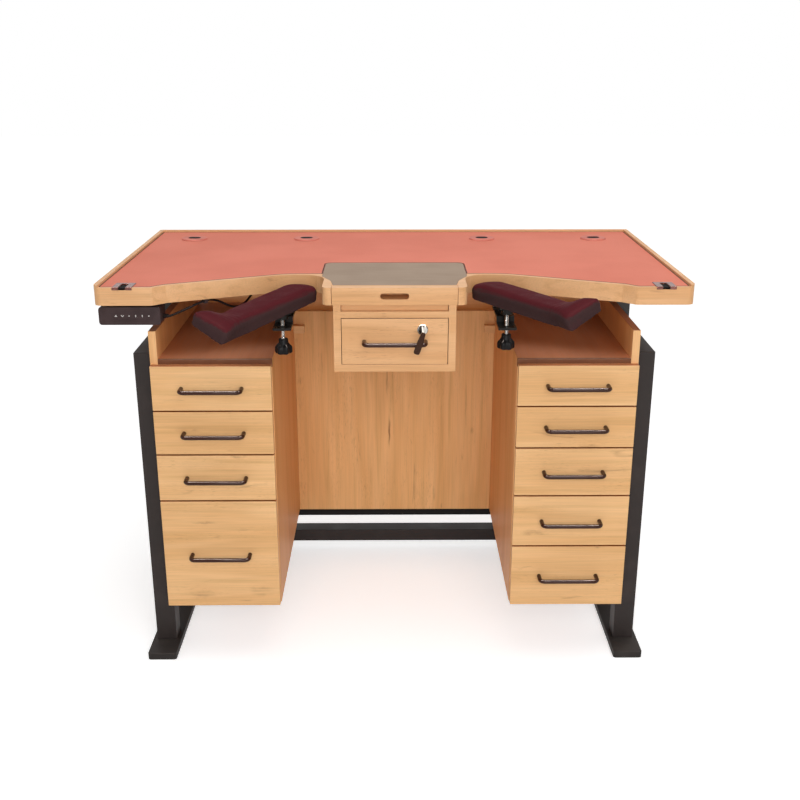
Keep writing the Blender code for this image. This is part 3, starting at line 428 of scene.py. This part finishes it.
# the feet's coat: the black coat made paler as a painted sheen
footSheenCoat = coatFinish("footSheenCoat", tint(48, 44, 42), tint(60, 55, 52), 0.48, 0.12)
tubeCoat = coatFinish("tubeCoat", tint(58, 56, 55), tint(72, 69, 67), 0.38)
chrome = metalFinish("chrome", (0.42, 0.40, 0.37, 1.0), (0.30, 0.28, 0.25, 1.0), 0.06)
nickel = metalFinish("nickel", tint(120, 82, 75), tint(94, 61, 55), 0.20, "X")
rodSteel = metalFinish("rodSteel", (0.74, 0.72, 0.69, 1.0), (0.58, 0.56, 0.53, 1.0), 0.16)
darkWire = coatFinish("darkWire", tint(56, 25, 12), tint(46, 20, 10), 0.04, 0.20)
# near black sheets for the outlets' openings and the corner grooves, as painted shade
paintedShadeBlack = plasticFinish("paintedShadeBlack", tint(12, 9, 9), tint(18, 14, 13), 0.5, 0.02)
hubCoat = coatFinish("hubCoat", tint(28, 25, 23), tint(36, 32, 30), 0.20, 0.12)
# the mat's border ring: a joint colour darkened as painted shade
jointShadeBrown = coatFinish("jointShadeBrown", mat["seam"], tint(92, 50, 32), 0.6, 0.1)
knobPlastic = plasticFinish("knobPlastic", tint(20, 18, 18), tint(28, 25, 25), 0.24, 0.10)
casePlastic = plasticFinish("casePlastic", tint(54, 40, 40), tint(62, 47, 47), 0.42, 0.16)
grommetPlastic = plasticFinish("grommetPlastic", tint(212, 122, 104), tint(198, 110, 94), 0.42, 0.08)
leadRubber = plasticFinish("leadRubber", tint(26, 20, 19), tint(33, 26, 25), 0.5, 0.10)
markWhite = plasticFinish("markWhite", tint(214, 208, 204), tint(196, 190, 186), 0.5)
wineLeather = leatherFinish()
print("finishes ready")

# finish and edge radius of each node; the paired ones have a left and a right
pairedLooks = {
    "foot": (footSheenCoat, 0.0015),
    "side_frame": (blackCoat, 0.0015),
    "armrest_bracket": (hubCoat, 0.0005),
    "armrest_carrier": (hubCoat, 0.0005),
    "lift_outer": (blackCoat, 0.0010),
    "lift_inner": (tubeCoat, 0.0010),
    "corner_plate": (nickel, 0.0003),
}
singleLooks = {
    "lower_crossbar": (blackCoat, 0.0015),
    "upper_crossbar": (barShadeCoat, 0.0015),
    "hand_controller": (casePlastic, 0.0010),
    "power_box": (casePlastic, 0.0012),
    "cable_clip": (casePlastic, 0.0004),
    "work_surface": (matFinish(), 0.0004),
    "work_plate": (plateFinish(), 0.0005),
    "lock_barrel": (chrome, 0.0004),
    "drawer_key": (keyFinish(), 0.0005),
    "grommet_1": (grommetPlastic, 0.0004),
    "grommet_2": (grommetPlastic, 0.0004),
    "grommet_3": (grommetPlastic, 0.0004),
    "grommet_4": (grommetPlastic, 0.0004),
}
for word in ("left", "right"):
    for part, (finish, edge) in pairedLooks.items():
        dress("%s_%s" % (word, part), finish, edge)
for node, (finish, edge) in singleLooks.items():
    dress(node, finish, edge)

# boards: every front has its own stretch of grain, and a tone multiplies the wood's colour; the side, shelf,
# gap, slot and shelf-edge tones are painted shade, the apron tone painted light
drawerCount = {"left": 4, "right": 5}
boards = {
    "edge": 0.0008,
    "fineEdge": 0.0006,
    "topEdge": 0.0012,
    "trayEdge": 0.0010,
    "frontStep": (0.63, 0.0, 0.41),
    "stepsBetweenSides": 7,
    "carcassShift": {"left": (0.0, 0.0, 0.4), "right": (0.0, 0.7, 0.4)},
    "trayShift": (0.9, 0.0, 0.3),
    "boxShift": (1.7, 0.2, 0.0),
    "centreShift": (2.9, 0.0, 0.7),
    "panelShift": (0.3, 0.0, 1.1),
    "carcassFigure": 0.4,
    "frontFace": -0.2194,
    "panelFace": 0.297,
    "markReach": 0.1,
    "topTone": (0.93, 0.88, 0.92),
    "apronLightTone": (1.22, 1.24, 1.45),
    "underTop": 0.8415,
    "gapShadeTone": (0.52, 0.27, 0.12),
    "frontBack": -0.2045,
    "slotShadeTone": (0.30, 0.17, 0.11),
    "slotMargin": 0.003,
    "frontThick": 0.015,
    "shelfEdge": {"from": 0.7045, "to": 0.7218, "half": 0.5008, "back": -0.195},
    "shelfEdgeShadeTone": (0.19, 0.105, 0.075),
    "edgeTone": (1.0, 0.95, 0.93),
    "sideShadeTone": (1.00, 0.82, 0.68),
    "shelfShadeTone": (0.56, 0.33, 0.29),
    "panelTone": (1.05, 1.01, 0.94),
}
# smudges of a board: across, up, half width, half height and depth
smears = {
    "left_drawer_3": [(-0.340, 0.506, 0.022, 0.006, 0.42)],
    "left_drawer_4": [(-0.421, 0.349, 0.034, 0.005, 0.38),
                      (-0.300, 0.178, 0.040, 0.014, 0.30),
                      (-0.440, 0.172, 0.050, 0.016, 0.30)],
    "right_drawer_2": [(0.422, 0.529, 0.034, 0.008, 0.34)],
    "right_drawer_4": [(0.306, 0.324, 0.034, 0.008, 0.36)],
    "right_drawer_5": [(0.290, 0.236, 0.036, 0.003, 0.40)],
    "knee_panel": [(-0.014, 0.372, 0.0042, 0.060, 0.80),
                   (-0.020, 0.520, 0.0036, 0.070, 0.42),
                   (-0.190, 0.560, 0.0030, 0.050, 0.40),
                   (0.190, 0.440, 0.0040, 0.090, 0.40),
                   (-0.062, 0.540, 0.0024, 0.040, 0.36),
                   (0.207, 0.372, 0.0050, 0.012, 0.55),
                   (0.128, 0.152, 0.0030, 0.012, 0.65)],
}


def marksOf(name, face):
    return [{"at": (across, face, up), "size": (wide, boards["markReach"], tall), "depth": depth}
            for across, up, wide, tall, depth in smears.get(name, ())]


# painted light: the rear apron under the top is lightened against the shade it sits in
apron = {"low": (None, None, None), "high": (None, None, boards["underTop"]), "tone": boards["apronLightTone"]}
topWood = laminate("topWood", "X", "X", tone=boards["topTone"], patches=[apron])
dress("bench_top", topWood, boards["topEdge"])
trayWood = laminate("trayWood", "X", "X", boards["trayShift"], boards["topTone"])
dress("catch_tray", trayWood, boards["trayEdge"])

# painted shade in the slot round the centre drawer's front
low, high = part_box("centre_drawer")
margin = boards["slotMargin"]
slot = {"low": (low.x - margin, None, low.z - margin),
        "high": (high.x + margin, low.y + boards["frontThick"], high.z + margin),
        "tone": boards["slotShadeTone"], "edgesOnly": True}
boxWood = laminate("boxWood", "X", "Y", boards["boxShift"], boards["topTone"], patches=[slot])
dress("centre_box", boxWood, boards["fineEdge"])
centreFront = laminate("centreFront", "X", "Y", boards["centreShift"], boards["topTone"], patches=[slot])
dress("centre_drawer", centreFront, boards["edge"])

panelMarks = marksOf("knee_panel", boards["panelFace"])
panelWood = laminate("panelWood", "Z", "Z", boards["panelShift"], boards["panelTone"], panelMarks)
dress("knee_panel", panelWood, boards["fineEdge"])

# painted shade in the gaps between the drawer fronts and on the front edge of the shelf above them
gap = {"low": (None, None, None), "high": (None, boards["frontBack"], None), "tone": boards["gapShadeTone"],
       "levelOnly": True}
shelf = boards["shelfEdge"]
# painted shade on the shelf's front edge above the drawers
strip = {"low": (-shelf["half"], None, shelf["from"]), "high": (shelf["half"], shelf["back"], shelf["to"]),
         "tone": boards["shelfEdgeShadeTone"]}
for index, (word, count) in enumerate(drawerCount.items()):
    shift = boards["carcassShift"][word]
    # painted shade: the carcass's side faces and shelf tops are darker and redder
    carcass = laminate(word + "Carcass", "Z", "Y", shift, boards["edgeTone"], (), boards["carcassFigure"],
                       boards["sideShadeTone"], boards["shelfShadeTone"], [strip])
    dress(word + "_cabinet", carcass, boards["fineEdge"])
    dress(word + "_corner_block", laminate(word + "Block", "X", "X", shift), boards["edge"])
    for number in range(1, count + 1):
        steps = number + boards["stepsBetweenSides"] * index
        step = [size * steps for size in boards["frontStep"]]
        node = "%s_drawer_%d" % (word, number)
        marks = marksOf(node, boards["frontFace"])
        front = laminate("%sFront%d" % (word, number), "X", "X", step, marks=marks, patches=[gap])
        dress(node, front, boards["edge"])
print("frame dressed")


# bent wire pulls, a ring pushed out, bent and carried along
pull = {"sides": 18, "bend": 0.010, "bendSteps": 7, "smoothAngle": 50}


def ringEdges(geometry):
    fresh = {item for item in geometry if isinstance(item, bmesh.types.BMVert)}
    return [item for item in geometry if isinstance(item, bmesh.types.BMEdge) and set(item.verts) <= fresh]


def pushRing(bm, edges, step):
    made = bmesh.ops.extrude_edge_only(bm, edges=edges)["geom"]
    bmesh.ops.translate(bm, verts=[item for item in made if isinstance(item, bmesh.types.BMVert)], vec=step)
    return ringEdges(made)


def bendRing(bm, edges, centre):
    verts = list({vert for edge in edges for vert in edge.verts})
    made = bmesh.ops.spin(bm, geom=verts + edges, cent=centre, axis=(0, 0, 1), angle=math.radians(90),
                          steps=pull["bendSteps"])
    return ringEdges(made["geom_last"])


def wirePull(node, body):
    low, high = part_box(node)
    radius = (high.z - low.z) / 2
    level = (high.z + low.z) / 2
    left, right, front = low.x + radius, high.x - radius, low.y + radius
    bend = pull["bend"]
    bm = bmesh.new()
    bmesh.ops.create_circle(bm, segments=pull["sides"], radius=radius)
    bmesh.ops.rotate(bm, verts=bm.verts, cent=(0, 0, 0), matrix=Matrix.Rotation(math.radians(90), 3, "X"))
    bmesh.ops.translate(bm, verts=bm.verts, vec=(left, high.y, level))
    first = list(bm.edges)
    edges = pushRing(bm, first, (0.0, front + bend - high.y, 0.0))
    edges = bendRing(bm, edges, (left + bend, front + bend, level))
    edges = pushRing(bm, edges, (right - left - 2 * bend, 0.0, 0.0))
    edges = bendRing(bm, edges, (right - bend, front + bend, level))
    last = pushRing(bm, edges, (0.0, high.y - front - bend, 0.0))
    bmesh.ops.holes_fill(bm, edges=first + last, sides=pull["sides"])
    name = node.replace("_handle", "_pull")
    piece = finishPiece(bm, name, body, darkWire, pull["smoothAngle"])
    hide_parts(node)


for word, count in drawerCount.items():
    for number in range(1, count + 1):
        drawer = "%s_drawer_%d" % (word, number)
        wirePull(drawer + "_handle", drawer + "_body")
wirePull("centre_handle", "centre_drawer_body")
print("pulls bent")


# closed solid of stacked rings: reachAt gives the radius from the row and the angle
def stackRings(sides, heights, reachAt):
    bm = bmesh.new()
    bmesh.ops.create_circle(bm, segments=sides, radius=1.0)
    edges = list(bm.edges)
    ends = list(edges)
    for row, height in enumerate(heights):
        if row:
            edges = pushRing(bm, edges, (0.0, 0.0, 0.0))
        for vert in {vert for edge in edges for vert in edge.verts}:
            angle = math.atan2(vert.co.y, vert.co.x)
            reach = reachAt(row, angle)
            vert.co = (reach * math.cos(angle), reach * math.sin(angle), height)
    bmesh.ops.holes_fill(bm, edges=ends + edges, sides=sides)
    return bm


# jack screws: a threaded rod and a star knob, each row of the knob is height, radius and lobe share
knob = {
    "sides": 72,
    "lobes": 6,
    "dip": 0.0030,
    "smoothAngle": 42,
    "rod": {"radius": 0.0042, "depth": 0.0007, "pitch": 0.002, "sides": 24, "rowsPerTurn": 6,
            "overlap": 0.002},
    "rows": ((0.0, 0.0150, 1.0), (0.0012, 0.0172, 1.0), (0.0032, 0.0185, 1.0), (0.0118, 0.0185, 1.0),
             (0.0148, 0.0178, 1.0), (0.0172, 0.0160, 0.9), (0.0196, 0.0134, 0.5), (0.0222, 0.0112, 0.15),
             (0.0250, 0.0101, 0.0), (0.0306, 0.0100, 0.0), (0.0320, 0.0088, 0.0), (0.0320, 0.0042, 0.0)),
}


def threadedRod(tall):
    rod = knob["rod"]
    count = round(tall / rod["pitch"] * rod["rowsPerTurn"])
    heights = [tall * row / count for row in range(count + 1)]

    def reachAt(row, angle):
        turn = (heights[row] / rod["pitch"] - angle / (2 * math.pi)) % 1.0
        return rod["radius"] - rod["depth"] * abs(2 * turn - 1)

    return stackRings(rod["sides"], heights, reachAt)


def starKnob():
    def reachAt(row, angle):
        radius, share = knob["rows"][row][1:]
        return radius - share * knob["dip"] * (1 - math.cos(knob["lobes"] * angle)) / 2

    return stackRings(knob["sides"], [row[0] for row in knob["rows"]], reachAt)


def screwParts(word):
    node = word + "_armrest_screw"
    body = word + "_screw_body"
    low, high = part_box(node)
    middle = (low + high) / 2
    start = low.z + knob["rows"][-1][0] - knob["rod"]["overlap"]
    parts = (("knob", starKnob(), low.z, knobPlastic, "black_knob_plastic"),
             ("rod", threadedRod(high.z - start), start, rodSteel, "chrome_plate"))
    for part, bm, level, finish, slotName in parts:
        bmesh.ops.translate(bm, verts=bm.verts, vec=(middle.x, middle.y, level))
        piece = finishPiece(bm, "%s_screw_%s" % (word, part), body, finish, knob["smoothAngle"])
        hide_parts(node)


for word in ("left", "right"):
    screwParts(word)
print("screws turned")


# the controller's lead, through its clip under the top to the power box
# route: across, back from the front line and down from the top's underside; sleeve: height and radius
lead = {
    "diameter": 0.005,
    "length": 0.358,
    "step": 0.004,
    "roundness": 5,
    "smoothAngle": 40,
    "frontLine": -0.219356,
    "underTop": 0.842,
    "route": (
        (-0.4866, 0.0380, 0.0310), (-0.4720, 0.0380, 0.0308), (-0.4360, 0.0470, 0.0170),
        (-0.4020, 0.0660, 0.0050), (-0.3820, 0.0920, 0.0110), (-0.3540, 0.1320, 0.0340),
        (-0.3380, 0.1900, 0.0410), (-0.3250, 0.2450, 0.0300), (-0.3200, 0.2850, 0.0220),
        (-0.3200, 0.2997, 0.0220),
    ),
    "sleeveSides": 24,
    "sleeve": ((0.0, 0.0044), (0.0014, 0.0048), (0.0028, 0.0048), (0.0034, 0.0040), (0.0044, 0.0040),
               (0.0050, 0.0045), (0.0062, 0.0045), (0.0068, 0.0037), (0.0078, 0.0037), (0.0084, 0.0041),
               (0.0094, 0.0041), (0.0100, 0.0034), (0.0118, 0.0032), (0.0130, 0.0027)),
}


def smoothRoute(points, step):
    knots = [points[0] * 2 - points[1], *points, points[-1] * 2 - points[-2]]
    line = []
    for before, start, end, after in zip(knots, knots[1:], knots[2:], knots[3:]):
        count = max(1, round((end - start).length / step))
        for index in range(count):
            t = index / count
            bow = (end - before) * t + (before * 2 - start * 5 + end * 4 - after) * t ** 2
            line.append(start + (bow + (start * 3 - before - end * 3 + after) * t ** 3) / 2)
    return line + [points[-1]]


def leadSleeve(name, at, along):
    heights = [height for height, radius in lead["sleeve"]]
    bm = stackRings(lead["sleeveSides"], heights, lambda row, angle: lead["sleeve"][row][1])
    turn = along.to_track_quat("Z", "Y").to_matrix().to_4x4()
    bmesh.ops.transform(bm, verts=bm.verts, matrix=Matrix.Translation(at) @ turn)
    return finishPiece(bm, name, "worktop", leadRubber, lead["smoothAngle"])


def controlLead():
    knots = [Vector((x, y + lead["frontLine"], lead["underTop"] - drop)) for x, y, drop in lead["route"]]
    line = smoothRoute(knots, lead["step"])
    curve = bpy.data.curves.new("control_lead", "CURVE")
    curve.dimensions = "3D"
    curve.bevel_depth = lead["diameter"] / 2
    curve.bevel_resolution = lead["roundness"]
    curve.use_fill_caps = True
    spline = curve.splines.new("POLY")
    spline.points.add(len(line) - 1)
    for point, spot in zip(spline.points, line):
        point.co = (*spot, 1.0)
    curve.materials.append(leadRubber)
    piece = bpy.data.objects.new("control_lead", curve)
    scene.collection.objects.link(piece)
    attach(piece, "worktop")
    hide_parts("control_cable")
    sleeves = [leadSleeve("lead_sleeve_1", knots[0], knots[1] - knots[0]),
               leadSleeve("lead_sleeve_2", knots[-1], knots[-2] - knots[-1])]


controlLead()
print("lead routed")


# painted shade: black sheets in the cable outlets' openings and in the corner grooves
shadeSheet = {
    "long": 0.0310,
    "wide": 0.0220,
    "thick": 0.0005,
    "sunk": 0.0001,
    "steps": 28,
    "smoothAngle": 40,
    "grooveHalf": 0.0073,
    "grooveLow": 0.8751,
    "grooveTall": 0.0038,
    "grooveFront": 0.0004,
    "grooveBack": -0.1857,
}


def thicken(bm, verts, step):
    faces = list({face for vert in verts for face in vert.link_faces})
    made = bmesh.ops.extrude_face_region(bm, geom=faces)["geom"]
    bmesh.ops.translate(bm, verts=[item for item in made if isinstance(item, bmesh.types.BMVert)], vec=step)


def stadium(bm, centre, long, wide, thick):
    steps = shadeSheet["steps"]
    made = bmesh.ops.create_circle(bm, cap_ends=True, segments=steps, radius=wide / 2)["verts"]
    bmesh.ops.rotate(bm, verts=made, cent=(0, 0, 0), matrix=Matrix.Rotation(math.pi / steps, 3, "Z"))
    for vert in made:
        vert.co.x += math.copysign((long - wide) / 2, vert.co.x)
    bmesh.ops.translate(bm, verts=made, vec=centre)
    thicken(bm, made, (0.0, 0.0, thick))


def block(bm, low, high):
    low, high = Vector(low), Vector(high)
    place = Matrix.Translation((low + high) / 2) @ Matrix.Diagonal((*(high - low), 1.0))
    return bmesh.ops.create_cube(bm, size=1.0, matrix=place)["verts"]


for number in range(1, 5):
    low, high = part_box("grommet_%d" % number)
    bm = bmesh.new()
    middle = ((low.x + high.x) / 2, (low.y + high.y) / 2, high.z - shadeSheet["sunk"])
    stadium(bm, middle, shadeSheet["long"], shadeSheet["wide"], shadeSheet["thick"])
    finishPiece(bm, "outlet_shade_%d" % number, "worktop", paintedShadeBlack,
                shadeSheet["smoothAngle"])
for word in ("left", "right"):
    low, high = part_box(word + "_corner_plate")
    middle = (low.x + high.x) / 2
    bm = bmesh.new()
    block(bm, (middle - shadeSheet["grooveHalf"], low.y + shadeSheet["grooveFront"], shadeSheet["grooveLow"]),
          (middle + shadeSheet["grooveHalf"], shadeSheet["grooveBack"], shadeSheet["grooveLow"] + shadeSheet["grooveTall"]))
    finishPiece(bm, word + "_groove_shade", "worktop", paintedShadeBlack, shadeSheet["smoothAngle"])
print("inserts placed")


# dark joint line round the mat's border, a thin ring laid on its edge, darkened as painted shade where the
# raised rim meets the mat
joint = {"wide": 0.0026, "thick": 0.00012, "levelFrom": 0.9}


def matJoint():
    bm = bmesh.new()
    bm.from_mesh(nodes["work_surface"].data)
    bmesh.ops.remove_doubles(bm, verts=bm.verts, dist=shading["weld"])
    bm.normal_update()
    steep = [face for face in bm.faces if face.normal.z < joint["levelFrom"]]
    bmesh.ops.delete(bm, geom=steep, context="FACES")
    inner = list(bm.faces)
    ring = bmesh.ops.inset_region(bm, faces=inner, thickness=joint["wide"], use_boundary=True,
                                  use_even_offset=True)["faces"]
    inner = [face for face in inner if face.is_valid and face not in ring]
    bmesh.ops.delete(bm, geom=inner, context="FACES")
    thicken(bm, bm.verts, (0.0, 0.0, joint["thick"]))
    finishPiece(bm, "mat_joint", "worktop", jointShadeBrown)


matJoint()
print("mat joint drawn")


# marks on the controller's panel: two arrows and four plain dots and bars, in half sizes
icons = {
    "first": -0.5793,
    "step": 0.0137,
    "level": 0.817,
    "face": -0.20655,
    "thick": 0.0003,
    "arrow": 0.0030,
    "arm": (0.00225, 0.00066),
    "armApart": 0.00135,
    "dot": (0.00105, 0.00105),
    "bar": (0.00084, 0.00225),
    "smoothAngle": 40,
}


def flatMark(bm, kind):
    wide, tall = icons[kind]
    return block(bm, (-wide, -tall, 0.0), (wide, tall, icons["thick"]))


def controllerMarks():
    bm = bmesh.new()
    for index, kind in enumerate(("up", "down", "dot", "bar", "bar", "dot")):
        if kind == "up":
            shape = bmesh.ops.create_circle(bm, cap_ends=True, segments=3, radius=icons["arrow"])["verts"]
            thicken(bm, shape, (0.0, 0.0, icons["thick"]))
            shape = list(bm.verts)
        elif kind == "down":
            shape = []
            for side in (-1, 1):
                arm = flatMark(bm, "arm")
                turn = Matrix.Rotation(math.radians(45 * side), 3, "Z")
                bmesh.ops.rotate(bm, verts=arm, cent=(0, 0, 0), matrix=turn)
                bmesh.ops.translate(bm, verts=arm, vec=(side * icons["armApart"], 0.0, 0.0))
                shape += arm
        else:
            shape = flatMark(bm, kind)
        bmesh.ops.rotate(bm, verts=shape, cent=(0, 0, 0), matrix=Matrix.Rotation(math.radians(90), 3, "X"))
        spot = (icons["first"] + index * icons["step"], icons["face"], icons["level"])
        bmesh.ops.translate(bm, verts=shape, vec=spot)
    finishPiece(bm, "controller_marks", "worktop", markWhite, icons["smoothAngle"])


controllerMarks()
print("controller marked")


# upholstered armrests: remeshed, inflated as cloth, then creased where the outer end turns up
pads = {
    "inset": 0.0012,
    "voxel": 0.004,
    "pressure": 4.0,
    "quality": 6,
    "frames": 20,
    "swell": 0.0035,
    "sink": 0.0004,
    "underside": -0.5,
    "smoothing": 2,
    "smoothShare": 0.5,
    "creaseDepth": 0.0006,
    "creasePitch": 0.017,
    "creaseFrom": 0.155,
    "creaseTo": 0.235,
    "creaseSkew": 4.0,
    "skewScale": 24.0,
    "creaseTop": 0.6,
    "dimple": 0.35,
    "dimpleScale": 42.0,
    "seamDepth": 0.0008,
    "seamLevel": 0.5,
    "seamSpread": 0.2,
    "fill": 0.75,
}


def applied(piece):
    graph = bpy.context.evaluated_depsgraph_get()
    mesh = bpy.data.meshes.new_from_object(piece.evaluated_get(graph))
    piece.modifiers.clear()
    piece.data = mesh
    return mesh


def inflate(piece):
    start = [vert.co.copy() for vert in piece.data.vertices]
    normals = [vert.normal.copy() for vert in piece.data.vertices]
    cloth = piece.modifiers.new("cloth", "CLOTH")
    cloth.settings.quality = pads["quality"]
    cloth.settings.use_pressure = True
    cloth.settings.uniform_pressure_force = pads["pressure"]
    cloth.settings.effector_weights.gravity = 0.0
    cloth.point_cache.frame_start = 1
    cloth.point_cache.frame_end = pads["frames"]
    for step in range(1, pads["frames"] + 1):
        scene.frame_set(step)
    mesh = applied(piece)
    scene.frame_set(1)
    for vert, rest, normal in zip(mesh.vertices, start, normals):
        move = vert.co - rest
        most = pads["sink"] if normal.z < pads["underside"] else pads["swell"]
        if move.length > most:
            move = move.normalized() * most
        vert.co = rest + move


def crease(piece, pivot, side):
    mesh = piece.data
    reach = max(((vert.co - pivot).length, vert.index) for vert in mesh.vertices)[1]
    arm = (mesh.vertices[reach].co - pivot) * Vector((1, 1, 0))
    arm.normalize()
    moves = []
    for vert in mesh.vertices:
        along = (vert.co - pivot).dot(arm)
        span = (along - pads["creaseFrom"]) / (pads["creaseTo"] - pads["creaseFrom"])
        fade = max(0.0, 1.0 - abs(2 * span - 1))
        skew = noise.noise(vert.co * pads["skewScale"] + Vector((side, 0, 0)))
        fold = math.sin(2 * math.pi * along / pads["creasePitch"] + pads["creaseSkew"] * skew)
        mask = fade * max(0.0, pads["creaseTop"] + vert.normal.z * pads["creaseTop"])
        dimple = pads["dimple"] * noise.noise(vert.co * pads["dimpleScale"])
        seam = max(0.0, 1.0 - abs(vert.normal.z - pads["seamLevel"]) / pads["seamSpread"])
        depth = pads["creaseDepth"] * (mask * max(0.0, fold) + dimple) + pads["seamDepth"] * seam
        moves.append(vert.normal * -depth)
    for vert, move in zip(mesh.vertices, moves):
        if vert.normal.z > pads["underside"]:
            vert.co += move


def softPad(word, side):
    node = word + "_armrest_pad"
    bm = bmesh.new()
    bm.from_mesh(nodes[node].data)
    bmesh.ops.remove_doubles(bm, verts=bm.verts, dist=shading["weld"])
    bm.normal_update()
    for vert in bm.verts:
        vert.co -= vert.normal * pads["inset"]
    mesh = bpy.data.meshes.new(word + "PadCore")
    bm.to_mesh(mesh)
    bm.free()
    piece = bpy.data.objects.new(word + "_pad_cover", mesh)
    scene.collection.objects.link(piece)
    remesh = piece.modifiers.new("remesh", "REMESH")
    remesh.mode = "VOXEL"
    remesh.voxel_size = pads["voxel"]
    applied(piece)
    inflate(piece)
    low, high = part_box(word + "_armrest_carrier")
    pivot = Vector(((low.x + high.x) / 2, (low.y + high.y) / 2, high.z))
    bm = bmesh.new()
    bm.from_mesh(piece.data)
    for turn in range(pads["smoothing"]):
        bmesh.ops.smooth_vert(bm, verts=bm.verts, factor=pads["smoothShare"], use_axis_x=True,
                              use_axis_y=True, use_axis_z=True)
    bm.to_mesh(piece.data)
    bm.free()
    crease(piece, pivot, side)
    piece.data.materials.clear()
    piece.data.materials.append(wineLeather)
    piece.data.shade_smooth()
    finer = piece.modifiers.new("finer", "SUBSURF")
    finer.levels = 1
    finer.render_levels = 1
    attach(piece, word + "_pad_body")
    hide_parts(node)


for word, side in (("left", -1), ("right", 1)):
    softPad(word, side)
print("pads stuffed")


# floor, light and camera; the strip lamp shows only in shiny surfaces
studio = {
    "lens": 46.94,
    "sensor": 36.0,
    "clipEnd": 60.0,
    "cameraAt": (-0.0049, -2.3174, 1.3547),
    "pitch": 18.92,
    "yaw": -0.43,
    "floorHalf": 14.0,
    "floorColour": (0.82, 0.82, 0.82, 1.0),
    "floorRoughness": 0.9,
    "glowFrom": 1.0,
    "glowTo": 4.5,
    "glowNear": 0.57,
    "glowFar": 0.72,
    "ambient": 0.36,
    "key": {"at": (0.25, -3.6, 1.7), "to": (0.0, 0.0, 0.5), "size": 2.4, "power": 74.0},
    "top": {"at": (0.4, -0.2, 3.3), "to": (0.1, 0.0, 0.8), "size": 2.6, "power": 39.0},
    "strip": {"at": (0.0, -0.42, 2.6), "to": (0.0, -0.42, 0.0), "size": 3.0, "depth": 0.5, "power": 420.0,
              "colour": (1.0, 0.80, 0.70), "shineOnly": True},
}


def seenDirectly(tree):
    path = put(tree, "LightPath").outputs
    mirrored = calc(tree, "MAXIMUM", path["Is Glossy Ray"], path["Is Transmission Ray"])
    return calc(tree, "MAXIMUM", path["Is Camera Ray"], mirrored)


def makeFloor():
    bm = bmesh.new()
    bmesh.ops.create_grid(bm, x_segments=1, y_segments=1, size=studio["floorHalf"])
    mesh = bpy.data.meshes.new("floor")
    bm.to_mesh(mesh)
    bm.free()
    floor = bpy.data.objects.new("floor", mesh)
    scene.collection.objects.link(floor)
    finish, tree, shader = newFinish("floorWhite")
    shader.inputs["Base Color"].default_value = studio["floorColour"]
    shader.inputs["Roughness"].default_value = studio["floorRoughness"]
    shader.inputs["Specular IOR Level"].default_value = 0.0
    shader.inputs["Emission Color"].default_value = (1.0, 1.0, 1.0, 1.0)
    away = put(tree, "VectorMath", {0: objectPlace(tree)}, operation="LENGTH").outputs["Value"]
    glow = ramp(tree, away, studio["glowFrom"], studio["glowTo"], studio["glowNear"], studio["glowFar"])
    link(tree, calc(tree, "MULTIPLY", seenDirectly(tree), glow), shader, "Emission Strength")
    mesh.materials.append(finish)


def makeWorld():
    world = bpy.data.worlds.new("studio")
    scene.world = world
    world.use_nodes = True
    tree = world.node_tree
    ground = tree.nodes["Background"]
    ground.inputs["Color"].default_value = (1.0, 1.0, 1.0, 1.0)
    values = {"Value": seenDirectly(tree), "To Min": studio["ambient"], "To Max": 1.0}
    link(tree, put(tree, "MapRange", values).outputs["Result"], ground, "Strength")


def makeLamp(name, lamp):
    light = bpy.data.lights.new(name, "AREA")
    light.shape = "RECTANGLE"
    light.size = lamp["size"]
    light.size_y = lamp.get("depth", lamp["size"])
    light.energy = lamp["power"]
    light.color = lamp.get("colour", (1.0, 1.0, 1.0))
    rig = bpy.data.objects.new(name, light)
    scene.collection.objects.link(rig)
    rig.visible_diffuse = not lamp.get("shineOnly", False)
    rig.location = lamp["at"]
    aim = Vector(lamp["to"]) - Vector(lamp["at"])
    rig.rotation_euler = aim.to_track_quat("-Z", "Y").to_euler()


def makeCamera():
    lens = bpy.data.cameras.new("camera")
    lens.lens = studio["lens"]
    lens.sensor_width = studio["sensor"]
    lens.clip_end = studio["clipEnd"]
    camera = bpy.data.objects.new("camera", lens)
    scene.collection.objects.link(camera)
    camera.location = studio["cameraAt"]
    camera.rotation_euler = (math.radians(90 - studio["pitch"]), 0.0, math.radians(studio["yaw"]))
    scene.camera = camera


makeFloor()
makeWorld()
makeLamp("keyLight", studio["key"])
makeLamp("topLight", studio["top"])
makeLamp("stripLight", studio["strip"])
makeCamera()
scene.view_settings.view_transform = "Standard"
print("stage set")
